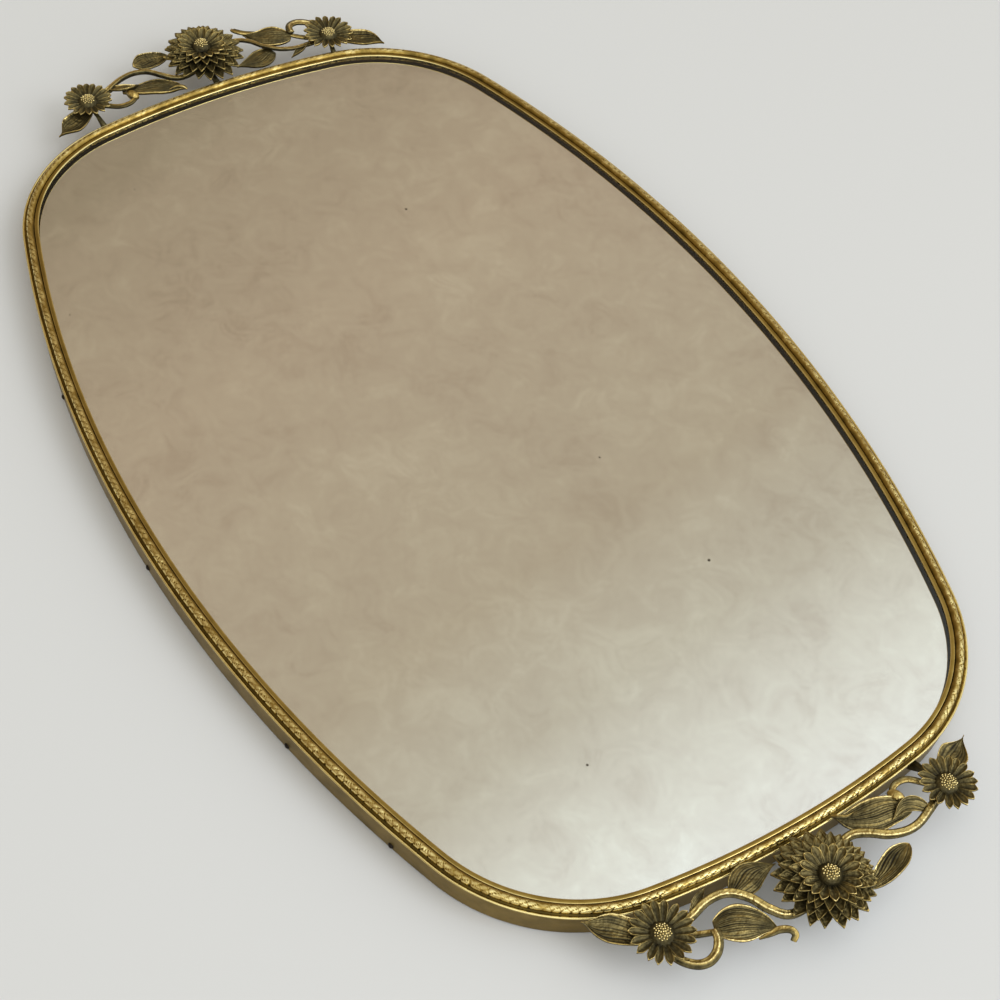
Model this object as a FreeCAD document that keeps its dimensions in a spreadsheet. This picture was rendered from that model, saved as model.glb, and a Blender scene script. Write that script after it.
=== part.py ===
import FreeCAD, Part
import math
import os
import Sketcher
from FreeCAD import Placement, Rotation, Vector

# An oval mirrored vanity tray: a gilt brass rim holds a glass mirror, its backing is tacked in
# from below, and a cast branch with three flowers stands at each end as a handle.
# Millimetres. X runs along the tray, Z is up, and the felt under the tray lies on Z = 0.

doc = FreeCAD.newDocument("VanityTray")
origin = Vector(0, 0, 0)
up = Vector(0, 0, 1)

# Driving dimensions. A "lift" is a height above the edge of the lip, which is the line where
# the rim meets the mirror. A "reach" is a distance outwards from that same edge.
sizes = {
    # the oval opening: two flat end arcs and two flat side arcs, joined by four corner arcs
    "openingLength": 377.0,
    "openingWidth": 238.2,
    "endRadius": 337.4,
    "sideRadius": 470.4,
    "cornerRadius": 57.6,
    # the rim's section
    "lipHeight": 12.2,
    "lipThickness": 0.35,
    "lipReach": 1.5,
    "lipCrown": 0.15,
    "grooveWidth": 0.25,
    "grooveDepth": 0.3,
    "beadReach": 4.4,
    "beadLift": 1.1,
    "beadFoot": 0.7,
    "coveDepth": 1.1,
    "rolledEdgeRadius": 0.4,
    "rolledEdgeDrop": 1.0,
    "rimWidth": 6.0,
    "wallSetback": 0.8,
    "wallThickness": 1.0,
    # the sheets that the rim holds, from the top down
    "seatPlay": 0.1,
    "edgePlay": 0.4,
    "glassThickness": 3.0,
    "silverThickness": 0.15,
    "cushionThickness": 1.2,
    "boardThickness": 6.4,
    "feltThickness": 0.6,
    "feltMargin": 2.5,
    # the tacks through the foot of the wall
    "tackHeadRadius": 1.1,
    "tackHeadHeight": 0.7,
    "tackShankRadius": 0.45,
    "tackLength": 7.0,
    "tackHeight": 2.3,
    # the castings
    "handleStandOff": 1.5,
    "stemRadius": 1.1,
    "curlRadius": 0.9,
    "leafThickness": 0.9,
    "padRadius": 3.4,
    "dahliaPadRadius": 5.5,
    "padThickness": 1.4,
    "footWidth": 4.0,
    "footHeight": 5.0,
    "footDrop": 1.9,
    "leafWidest": 0.45,
    "endLeafHalfWidth": 4.4,
    "longLeafHalfWidth": 6.0,
    "leafletHalfWidth": 1.2,
    "sideLeafHalfWidth": 3.8,
    "outerLeafHalfWidth": 3.8,
    "rearLongLeafHalfWidth": 5.0,
    "rearEndLeafHalfWidth": 3.6,
    "budLength": 4.6,
    "budRadius": 1.3,
    # the places of the flowers' pads on the right-hand handle, which "beside" takes
    "frontDaisyOut": 8.6,
    "frontDaisyAlong": -55.3,
    "frontDaisyLift": 0.4,
    "dahliaOut": 15.1,
    "dahliaAlong": -2.9,
    "dahliaLift": 0.2,
    "rearDaisyOut": 11.8,
    "rearDaisyAlong": 50.0,
    "rearDaisyLift": 1.6,
    # the flowers; the shares are of a petal's width, of its length and of the hub's radius
    "petalThickness": 0.8,
    "petalRootWidth": 0.3,
    "petalWidest": 0.35,
    "petalRoot": 0.6,
    "pinRadius": 1.0,
    "pinPlay": 0.05,
    "daisyHubRadius": 4.4,
    "daisyHubThickness": 1.0,
    "daisyPetals": 18,
    "daisyPetalWidth": 2.9,
    "daisyRise": 6.0,
    "frontDaisyRadius": 10.4,
    "rearDaisyRadius": 9.5,
    "daisyBossRadius": 4.0,
    "daisyBossHeight": 1.5,
    "bossShoulder": 0.35,
    "dahliaHubRadius": 6.6,
    "dahliaHubStep": 0.7,
    "dahliaHubThickness": 1.3,
    "whorlPetals": 20,
    "crownPetals": 17,
    "dahliaPetalWidth": 3.5,
    "dahliaRise": 9.0,
    "dahliaRiseStep": 4.0,
    "dahliaRadius": 15.4,
    "dahliaRadiusStep": 1.7,
    "dahliaBossRadius": 3.7,
    "dahliaBossHeight": 3.1,
}

sheet = doc.addObject("Spreadsheet::Sheet", "Sizes")
for row, (alias, number) in enumerate(sizes.items(), start=1):
    sheet.set(f"A{row}", alias)
    sheet.set(f"B{row}", str(number))
    sheet.setAlias(f"B{row}", alias)
doc.recompute()


def size(alias):
    return float(sheet.get(alias))


# The oval.

halfLength = size("openingLength") / 2
halfWidth = size("openingWidth") / 2
endCentre = halfLength - size("endRadius")
sideCentre = halfWidth - size("sideRadius")


def cornerCentre():
    # The corner arc touches the end arc and the side arc from inside, so its centre lies
    # (endRadius - cornerRadius) from one centre and (sideRadius - cornerRadius) from the other.
    fromEnd = size("endRadius") - size("cornerRadius")
    fromSide = size("sideRadius") - size("cornerRadius")
    apart = math.hypot(endCentre, sideCentre)
    along = (fromSide**2 - fromEnd**2 + apart**2) / (2 * apart)
    across = math.sqrt(fromSide**2 - along**2)
    unitX = endCentre / apart
    unitY = -sideCentre / apart
    return Vector(along * unitX + across * unitY, sideCentre + along * unitY - across * unitX, 0)


corner = cornerCentre()
endAngle = math.atan2(corner.y, corner.x - endCentre)
sideAngle = math.atan2(corner.y - sideCentre, corner.x)


def ovalArcs(reach):
    # The eight arcs of the oval that runs `reach` outside the lip's edge, anticlockwise from
    # the right-hand end. Each is (centre, radius, first angle, last angle).
    endR = size("endRadius") + reach
    sideR = size("sideRadius") + reach
    cornerR = size("cornerRadius") + reach
    turn = math.pi
    return [
        (Vector(endCentre, 0, 0), endR, -endAngle, endAngle),
        (Vector(corner.x, corner.y, 0), cornerR, endAngle, sideAngle),
        (Vector(0, sideCentre, 0), sideR, sideAngle, turn - sideAngle),
        (Vector(-corner.x, corner.y, 0), cornerR, turn - sideAngle, turn - endAngle),
        (Vector(-endCentre, 0, 0), endR, turn - endAngle, turn + endAngle),
        (Vector(-corner.x, -corner.y, 0), cornerR, turn + endAngle, turn + sideAngle),
        (Vector(0, -sideCentre, 0), sideR, turn + sideAngle, 2 * turn - sideAngle),
        (Vector(corner.x, -corner.y, 0), cornerR, -sideAngle, -endAngle),
    ]


def edgePoint(along, reach):
    # The point of the right-hand end, at Y = along, that lies `reach` outside the lip's edge,
    # and the direction that points straight out of the rim there.
    endR = size("endRadius") + reach
    cornerR = size("cornerRadius") + reach
    if abs(along) <= endR * math.sin(endAngle):
        centre = Vector(endCentre, 0, 0)
        radius = endR
    else:
        centre = Vector(corner.x, math.copysign(corner.y, along), 0)
        radius = cornerR
    point = Vector(centre.x + math.sqrt(radius**2 - (along - centre.y) ** 2), along, 0)
    return point, (point - centre).normalize()


wallReach = size("rimWidth") - size("wallSetback")
lip = size("lipHeight")


def beside(out, along, lift):
    # A place on the right-hand handle, measured along X: `out` from the line at which the
    # handle stands off the rim's wall.
    point, outward = edgePoint(along, wallReach)
    return Vector(point.x + size("handleStandOff") + out, along, lip + lift)


# Sketch helpers.


def originPlane(body, role):
    return next(f for f in body.Origin.OriginFeatures if f.Role == role)


def newSketch(body, name, role, heightExpression=None):
    sketch = body.newObject("Sketcher::SketchObject", name)
    sketch.AttachmentSupport = [(originPlane(body, role), "")]
    sketch.MapMode = "FlatFace"
    if heightExpression:
        sketch.setExpression("AttachmentOffset.Base.z", heightExpression)
    return sketch


def dimension(sketch, name, expression, *constraint):
    index = sketch.addConstraint(Sketcher.Constraint(*constraint))
    sketch.renameConstraint(index, name)
    sketch.setExpression(f"Constraints.{name}", expression)


def drawOval(sketch, reach, reachExpression):
    end, side, corners = (0, 4), (2, 6), (1, 3, 5, 7)
    for centre, radius, first, last in ovalArcs(reach):
        circle = Part.Circle(centre, up, radius)
        sketch.addGeometry(Part.ArcOfCircle(circle, first, last), False)
    for arc in range(8):
        sketch.addConstraint(Sketcher.Constraint("Tangent", arc, 2, (arc + 1) % 8, 1))
    sketch.addConstraint(Sketcher.Constraint("Equal", end[0], end[1]))
    sketch.addConstraint(Sketcher.Constraint("Equal", side[0], side[1]))
    for arc in corners[1:]:
        sketch.addConstraint(Sketcher.Constraint("Equal", corners[0], arc))
    for arc in end:
        sketch.addConstraint(Sketcher.Constraint("PointOnObject", arc, 3, -1))
    for arc in side:
        sketch.addConstraint(Sketcher.Constraint("PointOnObject", arc, 3, -2))
    endBack = "Sizes.endRadius - Sizes.openingLength / 2"
    sideBack = "Sizes.sideRadius - Sizes.openingWidth / 2"
    dimension(sketch, "rightCentre", endBack, "DistanceX", end[0], 3, -1, 1, -endCentre)
    dimension(sketch, "leftCentre", endBack, "DistanceX", -1, 1, end[1], 3, -endCentre)
    dimension(sketch, "backCentre", sideBack, "DistanceY", side[0], 3, -1, 1, -sideCentre)
    dimension(sketch, "frontCentre", sideBack, "DistanceY", -1, 1, side[1], 3, -sideCentre)
    for name, arc in (("endRadius", end[0]), ("sideRadius", side[0]), ("cornerRadius", corners[0])):
        expression = f"Sizes.{name} + {reachExpression}"
        dimension(sketch, name, expression, "Radius", arc, size(name) + reach)


def newBody(name):
    body = doc.addObject("PartDesign::Body", name)
    body.Label = name
    return body


def solidFeature(name, shape, placement=None):
    feature = doc.addObject("Part::Feature", name)
    feature.Label = name
    feature.Shape = shape
    if placement:
        feature.Placement = placement
    return feature


# The rim.


def rimSection():
    # The section stands in the plane X-Z. It goes over the top from the lip to the rolled
    # edge, down the wall and back under the lip, where the glass lies.
    under = lip - size("lipThickness")
    groove = size("lipReach") + size("grooveWidth")
    beadMiddle = (groove + size("beadReach")) / 2
    rollR = size("rolledEdgeRadius")
    roll = Vector(size("rimWidth") - rollR, 0, lip - size("rolledEdgeDrop"))
    rollStart = roll + Vector(-rollR * math.cos(math.pi / 6), 0, rollR / 2)
    rollEnd = roll + Vector(-rollR / 2, 0, -rollR * math.cos(math.pi / 6))
    coveMiddle = (size("beadReach") + rollStart.x) / 2
    wallFoot = size("feltThickness")
    wallInside = wallReach - size("wallThickness")
    lipTop = Vector(0, 0, lip)
    lipEnd = Vector(size("lipReach"), 0, lip)
    grooveEnd = Vector(groove, 0, lip - size("grooveDepth"))
    beadEnd = Vector(size("beadReach"), 0, lip - size("beadFoot"))
    beadTop = Vector(beadMiddle, 0, lip + size("beadLift"))
    coveBottom = Vector(coveMiddle, 0, lip - size("coveDepth"))
    corners = [
        rollEnd,
        Vector(wallReach, 0, rollEnd.z - rollR / 2),
        Vector(wallReach, 0, wallFoot),
        Vector(wallInside, 0, wallFoot),
        Vector(wallInside, 0, under),
        Vector(0, 0, under),
        lipTop,
    ]
    edges = [
        Part.Arc(lipTop, Vector(size("lipReach") / 2, 0, lip + size("lipCrown")), lipEnd).toShape(),
        Part.makeLine(lipEnd, grooveEnd),
        Part.Arc(grooveEnd, beadTop, beadEnd).toShape(),
        Part.Arc(beadEnd, coveBottom, rollStart).toShape(),
        Part.Arc(rollStart, roll + Vector(rollR, 0, 0), rollEnd).toShape(),
    ]
    edges += [Part.makeLine(first, last) for first, last in zip(corners, corners[1:])]
    return Part.Face(Part.Wire(edges))


def turned(section, centre, radius, first, last):
    # The section turned about one arc's centre. Its own X = 0 follows the lip's edge.
    piece = section.copy()
    piece.translate(Vector(radius, 0, 0))
    solid = piece.revolve(origin, up, math.degrees(last - first))
    solid.rotate(origin, up, math.degrees(first))
    solid.translate(centre)
    return solid


def rimShape(section):
    pieces = [turned(section, *arc) for arc in ovalArcs(0)]
    return pieces[0].multiFuse(pieces[1:]).removeSplitter()


rim = rimShape(rimSection())

# The sheets under the lip.

sheetReach = "(Sizes.rimWidth - Sizes.wallSetback - Sizes.wallThickness - Sizes.edgePlay)"
feltReach = "(Sizes.rimWidth - Sizes.wallSetback - Sizes.wallThickness - Sizes.feltMargin)"
wallInsideReach = wallReach - size("wallThickness")


def ovalSheet(name, reach, reachExpression, bottomExpression, thicknessExpression):
    body = newBody(name)
    sketch = newSketch(body, f"{name}_outline", "XY_Plane", bottomExpression)
    drawOval(sketch, reach, reachExpression)
    pad = body.newObject("PartDesign::Pad", f"{name}_pad")
    pad.Profile = sketch
    pad.setExpression("Length", thicknessExpression)
    return body


glassBottom = "Sizes.lipHeight - Sizes.lipThickness - Sizes.seatPlay - Sizes.glassThickness"
silverBottom = f"{glassBottom} - Sizes.silverThickness"
cushionBottom = f"{silverBottom} - Sizes.cushionThickness"
fitted = wallInsideReach - size("edgePlay")
ovalSheet("mirror_glass", fitted, sheetReach, glassBottom, "Sizes.glassThickness")
ovalSheet("mirror_silvering", fitted, sheetReach, silverBottom, "Sizes.silverThickness")
ovalSheet("cushion_sheet", fitted, sheetReach, cushionBottom, "Sizes.cushionThickness")
felted = wallInsideReach - size("feltMargin")
ovalSheet("felt_pad", felted, feltReach, "0 * Sizes.feltThickness", "Sizes.feltThickness")

# The tacks and the board that they hold.

# Stations of the tacks along the front side; the back side has the same ones turned half round.
tackStations = (-0.41, 0.02, 0.455, 0.697)


def sidePoint(station):
    # A point of the front wall at X = station x half the opening's length, and its outward way.
    x = station * halfLength
    if abs(x) <= (size("sideRadius") + wallReach) * math.cos(sideAngle):
        centre = Vector(0, -sideCentre, 0)
        radius = size("sideRadius") + wallReach
    else:
        centre = Vector(math.copysign(corner.x, x), -corner.y, 0)
        radius = size("cornerRadius") + wallReach
    point = Vector(x, centre.y - math.sqrt(radius**2 - (x - centre.x) ** 2), 0)
    return point, (point - centre).normalize()


def tackPlaces():
    half = Placement(origin, Rotation(up, 180))
    places = []
    for station in tackStations:
        point, outward = sidePoint(station)
        seat = point + Vector(0, 0, size("tackHeight"))
        place = Placement(seat, Rotation(up, outward))
        places += [place, half.multiply(place)]
    return places


def dome(radius, height):
    # The cap of a ball, standing on Z = 0.
    ball = (radius**2 + height**2) / (2 * height)
    above = Part.makeBox(4 * ball, 4 * ball, 2 * ball, Vector(-2 * ball, -2 * ball, 0))
    return Part.makeSphere(ball, Vector(0, 0, height - ball)).common(above)


def tackShape():
    # The tack lies along Z with the underside of its domed head on Z = 0.
    shank = Part.makeCylinder(size("tackShankRadius"), size("tackLength"), origin, -up)
    return dome(size("tackHeadRadius"), size("tackHeadHeight")).fuse(shank)


def placed(shape, placement):
    copy = shape.copy()
    copy.Placement = placement
    return copy


tacks = [placed(tackShape(), place) for place in tackPlaces()]
solidFeature("rim_frame", rim.cut(Part.makeCompound(tacks)))
solidFeature("wall_tacks", Part.makeCompound(tacks))

boardSizes = ("Sizes.feltThickness", "Sizes.boardThickness")
boardBlank = ovalSheet("board_blank", fitted, sheetReach, *boardSizes)
doc.recompute()
solidFeature("backing_board", boardBlank.Shape.cut(Part.makeCompound(tacks)))

# Stems and leaves.


def joined(solids):
    # Joined one after the other, which is surer than all at once where round stems meet.
    whole = solids[0]
    for solid in solids[1:]:
        whole = whole.fuse(solid)
    return whole


def tube(points, radius):
    # A round stem. Every second point is the end of an arc, and the point between two ends
    # is one that the arc passes through. A ball closes each end and each joint. Where two arcs
    # run on so straight that the kernel leaves them apart, the balls stand a little proud.
    arcs = []
    for first, middle, last in zip(points[0::2], points[1::2], points[2::2]):
        arc = Part.Arc(first, middle, last)
        ring = Part.Wire(Part.makeCircle(radius, first, arc.tangent(arc.FirstParameter)[0]))
        arcs.append(Part.Wire(arc.toShape()).makePipeShell([ring], True, True))
    stem = joined(arcs + [Part.makeSphere(radius, point) for point in points[0::2]])
    if len(stem.Solids) > 1:
        proud = 0.05
        stem = joined([Part.makeSphere(radius + proud, point) for point in points[0::2]] + arcs)
    return stem


def straightTwig(first, last, radius):
    twig = Part.makeCylinder(radius, (last - first).Length, first, last - first)
    return twig.fuse(Part.makeSphere(radius, last))


def leaf(base, tip, halfWidth):
    # A flat pointed oval from base to tip, lying as level as its slope allows.
    length = (tip - base).Length
    widest = length * size("leafWidest")
    thick = size("leafThickness")
    left = Part.Arc(origin, Vector(widest, size(halfWidth), 0), Vector(length, 0, 0))
    right = Part.Arc(origin, Vector(widest, -size(halfWidth), 0), Vector(length, 0, 0))
    face = Part.Face(Part.Wire([left.toShape(), right.toShape()]))
    plate = face.extrude(Vector(0, 0, thick))
    plate.translate(Vector(0, 0, -thick / 2))
    return placed(plate, Placement(base, Rotation(tip - base, Vector(), up, "XZY")))


def footing(centre, padRadius):
    # The pad under a flower, and the lug that carries it from the rim's wall. The lug's root
    # runs into the wall, and is cut to the wall's own curve, to which it is brazed.
    wallPoint, outward = nearestWall(centre)
    pad = Part.makeCylinder(padRadius, size("padThickness"), centre, -up)
    reach = (Vector(centre.x, centre.y, 0) - wallPoint).Length
    root = -size("wallThickness") / 2
    lugTop = lip - size("footDrop") - centre.z
    corners = [
        Vector(root, 0, lugTop),
        Vector(size("wallSetback"), 0, lugTop),
        Vector(reach, 0, -size("padThickness") / 2),
        Vector(reach + size("footWidth") / 2, 0, -size("padThickness")),
        Vector(root, 0, lugTop - size("footHeight")),
        Vector(root, 0, lugTop),
    ]
    side = Part.Face(Part.makePolygon(corners))
    lug = side.extrude(Vector(0, size("footWidth"), 0))
    lug.translate(Vector(0, -size("footWidth") / 2, 0))
    seat = wallPoint + Vector(0, 0, centre.z)
    return [pad, placed(lug, Placement(seat, Rotation(Vector(1, 0, 0), outward)))]


def nearestWall(point):
    # The nearest point of the wall's outside, seen from above, and its outward direction.
    flat = Vector(point.x, point.y, 0)
    for centre, radius, first, last in (ovalArcs(wallReach)[i] for i in (0, 1, 7)):
        away = flat - centre
        angle = math.atan2(away.y, away.x)
        if first <= angle <= last:
            outward = away.normalize()
            return centre + outward * radius, outward
    raise ValueError("a flower stands beyond the end of the tray")


frontDaisy = beside(size("frontDaisyOut"), size("frontDaisyAlong"), size("frontDaisyLift"))
dahlia = beside(size("dahliaOut"), size("dahliaAlong"), size("dahliaLift"))
rearDaisy = beside(size("rearDaisyOut"), size("rearDaisyAlong"), size("rearDaisyLift"))
stem = size("stemRadius")
thin = size("curlRadius")


def frontBranch():
    ribbon = [
        frontDaisy + Vector(0, 2.0, -stem),
        beside(6.6, -44.5, -0.6),
        beside(4.6, -38.0, 1.0),
        beside(4.6, -33.5, 1.9),
        beside(6.6, -29.2, 2.2),
        beside(10.5, -25.1, 2.0),
        beside(15.0, -22.9, 1.5),
        beside(18.4, -18.5, 0.4),
        dahlia + Vector(2.5, -4.0, -stem),
    ]
    curl = [
        frontDaisy + Vector(1.0, -1.5, -thin),
        beside(14.5, -56.0, -1.0),
        beside(18.3, -52.7, -0.4),
        beside(20.7, -49.0, 0.0),
        beside(20.3, -45.5, 0.6),
        beside(18.5, -42.1, 1.4),
        beside(14.8, -41.0, 1.6),
    ]
    leafFoot = beside(13.0, -42.5, 0.2)
    link = straightTwig(frontDaisy + Vector(1.5, 1.5, -1.3 * thin), leafFoot, thin)
    endLeafFoot = frontDaisy + Vector(-1.0, -2.5, -0.7)
    endLeaf = leaf(endLeafFoot, beside(1.6, -73.3, 0.6), "endLeafHalfWidth")
    longLeaf = leaf(leafFoot, beside(22.0, -23.2, 1.2), "longLeafHalfWidth")
    leaflet = leaf(beside(5.8, -42.0, 0.1), beside(0.2, -35.2, 1.0), "leafletHalfWidth")
    sideLeaf = leaf(beside(6.4, -30.0, 1.8), beside(1.8, -14.1, 1.4), "sideLeafHalfWidth")
    spur = straightTwig(dahlia + Vector(3.0, 3.5, -1.3 * thin), beside(22.4, 11.5, -0.7), thin)
    outerLeaf = leaf(beside(22.6, 10.4, -0.9), beside(20.5, 26.2, 5.0), "outerLeafHalfWidth")
    solids = [tube(ribbon, stem), tube(curl, thin), link, endLeaf, longLeaf, leaflet, sideLeaf]
    solids += [spur, outerLeaf]
    solids += footing(frontDaisy, size("padRadius"))
    solids += footing(dahlia, size("dahliaPadRadius"))
    return solids


def rearBranch():
    ribbon = [
        dahlia + Vector(-4.0, 4.0, -stem),
        beside(8.2, 8.0, -0.2),
        beside(6.6, 12.4, 1.0),
        beside(8.6, 17.0, 2.2),
        beside(12.2, 20.4, 3.0),
        beside(15.2, 24.3, 3.1),
        beside(16.4, 29.9, 2.8),
        beside(16.2, 37.5, 1.3),
        rearDaisy + Vector(1.5, -2.5, -stem),
    ]
    curl = [
        rearDaisy + Vector(-1.5, -1.5, -1.3 * thin),
        beside(7.4, 44.6, 0.7),
        beside(4.6, 41.0, 1.5),
        beside(2.0, 38.0, 1.8),
        beside(2.1, 35.2, 2.0),
        beside(3.0, 33.2, 2.1),
        beside(5.0, 32.4, 2.1),
    ]
    leafFoot = beside(13.0, 38.5, 0.9)
    bud = Part.makeSphere(1.0).transformGeometry(budMatrix())
    twig = straightTwig(rearDaisy + Vector(0.5, -2.5, -1.3 * thin), leafFoot, thin)
    longLeaf = leaf(leafFoot, beside(0.8, 12.2, 1.3), "rearLongLeafHalfWidth")
    endLeafFoot = rearDaisy + Vector(-2.5, 1.5, -0.7)
    endLeaf = leaf(endLeafFoot, beside(6.0, 66.9, -1.4), "rearEndLeafHalfWidth")
    solids = [tube(ribbon, stem), tube(curl, thin), bud, twig, longLeaf, endLeaf]
    return solids + footing(rearDaisy, size("padRadius"))


def budMatrix():
    place = Placement(beside(6.6, 33.4, 2.2), Rotation(Vector(1, 0, 0), Vector(0.9, 0.45, 0.1)))
    matrix = FreeCAD.Matrix()
    matrix.scale(size("budLength") / 2, size("budRadius"), size("budRadius"))
    return place.toMatrix() * matrix


def pinHole(pad):
    length = 4 * size("padThickness")
    return Part.makeCylinder(size("pinRadius") + size("pinPlay"), length, pad - up * length / 2, up)


def insideOfWall():
    # Everything that the outside of the wall goes round, as high as the lip.
    arcs = [
        Part.ArcOfCircle(Part.Circle(centre, up, radius), first, last).toShape()
        for centre, radius, first, last in ovalArcs(wallReach)
    ]
    return Part.Face(Part.Wire(arcs)).extrude(Vector(0, 0, lip))


def casting(solids, cutters):
    whole = joined(solids)
    for cutter in cutters:
        whole = whole.cut(cutter)
    return whole


# The two castings of a handle meet at the dahlia's pad, which is part of the front one.
dahliaFoot = footing(dahlia, size("dahliaPadRadius"))
frontCasting = casting(frontBranch(), [insideOfWall(), pinHole(frontDaisy), pinHole(dahlia)])
rearCasting = casting(rearBranch(), [insideOfWall(), pinHole(rearDaisy)] + dahliaFoot)

# Flowers.


def petalOutline(sketch, hubR, tipR, width, pointed):
    # One petal along +X. It starts inside its hub, so that the two join.
    start = hubR * size("petalRoot")
    narrow = width * size("petalRootWidth")
    if pointed:
        middle = hubR + (tipR - hubR) * size("petalWidest")
        curves = [
            Part.Arc(Vector(start, -narrow, 0), Vector(middle, -width / 2, 0), Vector(tipR, 0, 0)),
            Part.Arc(Vector(tipR, 0, 0), Vector(middle, width / 2, 0), Vector(start, narrow, 0)),
        ]
        curves.append(Part.LineSegment(Vector(start, narrow, 0), Vector(start, -narrow, 0)))
    else:
        shoulder = tipR - width / 2
        low, high = Vector(shoulder, -width / 2, 0), Vector(shoulder, width / 2, 0)
        curves = [
            Part.LineSegment(Vector(start, -narrow, 0), low),
            Part.Arc(low, Vector(tipR, 0, 0), high),
            Part.LineSegment(high, Vector(start, narrow, 0)),
            Part.LineSegment(Vector(start, narrow, 0), Vector(start, -narrow, 0)),
        ]
    for curve in curves:
        sketch.addGeometry(curve, False)
    for index in range(len(curves)):
        following = (index + 1) % len(curves)
        sketch.addConstraint(Sketcher.Constraint("Coincident", index, 2, following, 1))


def petalRing(name, placement, hub, tipR, width, count, rise, hubThickness, pointed):
    # A hub disc with a ring of petals that rise outwards. Its underside lies on the body's Z = 0.
    hubRadius, hubExpression = hub
    body = newBody(name)
    hubSketch = newSketch(body, f"{name}_hub", "XY_Plane")
    hubSketch.addGeometry(Part.Circle(origin, up, hubRadius), False)
    hubSketch.addGeometry(Part.Circle(origin, up, size("pinRadius") + size("pinPlay")), False)
    for circle in (0, 1):
        hubSketch.addConstraint(Sketcher.Constraint("Coincident", circle, 3, -1, 1))
    dimension(hubSketch, "hub", hubExpression, "Radius", 0, hubRadius)
    hole = size("pinRadius") + size("pinPlay")
    dimension(hubSketch, "hole", "Sizes.pinRadius + Sizes.pinPlay", "Radius", 1, hole)
    disc = body.newObject("PartDesign::Pad", f"{name}_hub_pad")
    disc.Profile = hubSketch
    disc.setExpression("Length", f"Sizes.{hubThickness}")
    petalSketch = newSketch(body, f"{name}_petal", "XY_Plane")
    tilt = Rotation(Vector(0, 1, 0), -rise)
    lift = Vector(0, 0, -math.tan(math.radians(rise)) * hubRadius * size("petalRoot"))
    petalSketch.AttachmentOffset = Placement(lift, tilt)
    petalOutline(petalSketch, hubRadius, tipR / math.cos(math.radians(rise)), width, pointed)
    petal = body.newObject("PartDesign::Pad", f"{name}_petal_pad")
    petal.Profile = petalSketch
    petal.setExpression("Length", "Sizes.petalThickness")
    doc.recompute()
    ring = body.newObject("PartDesign::PolarPattern", f"{name}_ring")
    ring.Originals = [petal]
    ring.Axis = (originPlane(body, "Z_Axis"), [""])
    ring.Angle = 360
    ring.setExpression("Occurrences", f"Sizes.{count}")
    body.Tip = ring
    body.Placement = placement
    return body


def bossPin(name, placement, radius, height, stack):
    # The domed heart of a flower. Its shank goes down through the petals into the pad.
    shoulder = height * size("bossShoulder")
    base = Part.makeCylinder(radius, shoulder)
    cap = dome(radius, height - shoulder)
    cap.translate(Vector(0, 0, shoulder))
    depth = stack + size("padThickness")
    shank = Part.makeCylinder(size("pinRadius"), depth, Vector(0, 0, -depth), up)
    solidFeature(name, joined([base, cap, shank]), placement)


def daisy(name, place, radius):
    petals = (size("daisyPetalWidth"), "daisyPetals", size("daisyRise"), "daisyHubThickness")
    hub = (size("daisyHubRadius"), "Sizes.daisyHubRadius")
    petalRing(f"{name}_petals", place, hub, size(radius), *petals, False)
    seat = place.multiply(Placement(Vector(0, 0, size("daisyHubThickness")), Rotation()))
    boss = (size("daisyBossRadius"), size("daisyBossHeight"), size("daisyHubThickness"))
    bossPin(f"{name}_boss", seat, *boss)


def dahliaFlower(name, place):
    # Three whorls of pointed petals, each smaller and steeper than the one below, and a crown
    # of blunt petals round the heart.
    layer = size("dahliaHubThickness")
    whorls = ("outer", "middle", "inner", "crown")
    for index, whorl in enumerate(whorls):
        crown = whorl == "crown"
        count = "crownPetals" if crown else "whorlPetals"
        turnAngle = 180 / size(count) * (index % 2)
        seat = Placement(Vector(0, 0, layer * index), Rotation(up, turnAngle))
        hub = (
            size("dahliaHubRadius") - size("dahliaHubStep") * index,
            f"Sizes.dahliaHubRadius - Sizes.dahliaHubStep * {index}",
        )
        width = size("daisyPetalWidth") if crown else size("dahliaPetalWidth")
        tip = size("dahliaRadius") - size("dahliaRadiusStep") * index
        rise = size("dahliaRise") + size("dahliaRiseStep") * index
        petals = (tip, width, count, rise, "dahliaHubThickness")
        petalRing(f"{name}_{whorl}_petals", place.multiply(seat), hub, *petals, not crown)
    seat = place.multiply(Placement(Vector(0, 0, layer * len(whorls)), Rotation()))
    boss = (size("dahliaBossRadius"), size("dahliaBossHeight"), layer * len(whorls))
    bossPin(f"{name}_boss", seat, *boss)


# The two handles, each the other turned half round.

# Turned half round, the pieces at the front of the right handle come to the back of the left one.
for side, angle, near, far in (("right", 0, "front", "rear"), ("left", 180, "rear", "front")):
    half = Placement(origin, Rotation(up, angle))
    nearPlace = half.multiply(Placement(frontDaisy, Rotation()))
    farPlace = half.multiply(Placement(rearDaisy, Rotation()))
    solidFeature(f"{side}_{near}_branch", frontCasting, half)
    solidFeature(f"{side}_{far}_branch", rearCasting, half)
    daisy(f"{side}_{near}_daisy", nearPlace, "frontDaisyRadius")
    daisy(f"{side}_{far}_daisy", farPlace, "rearDaisyRadius")
    dahliaFlower(f"{side}_dahlia", half.multiply(Placement(dahlia, Rotation())))

doc.recompute()

# Check and write.

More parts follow.
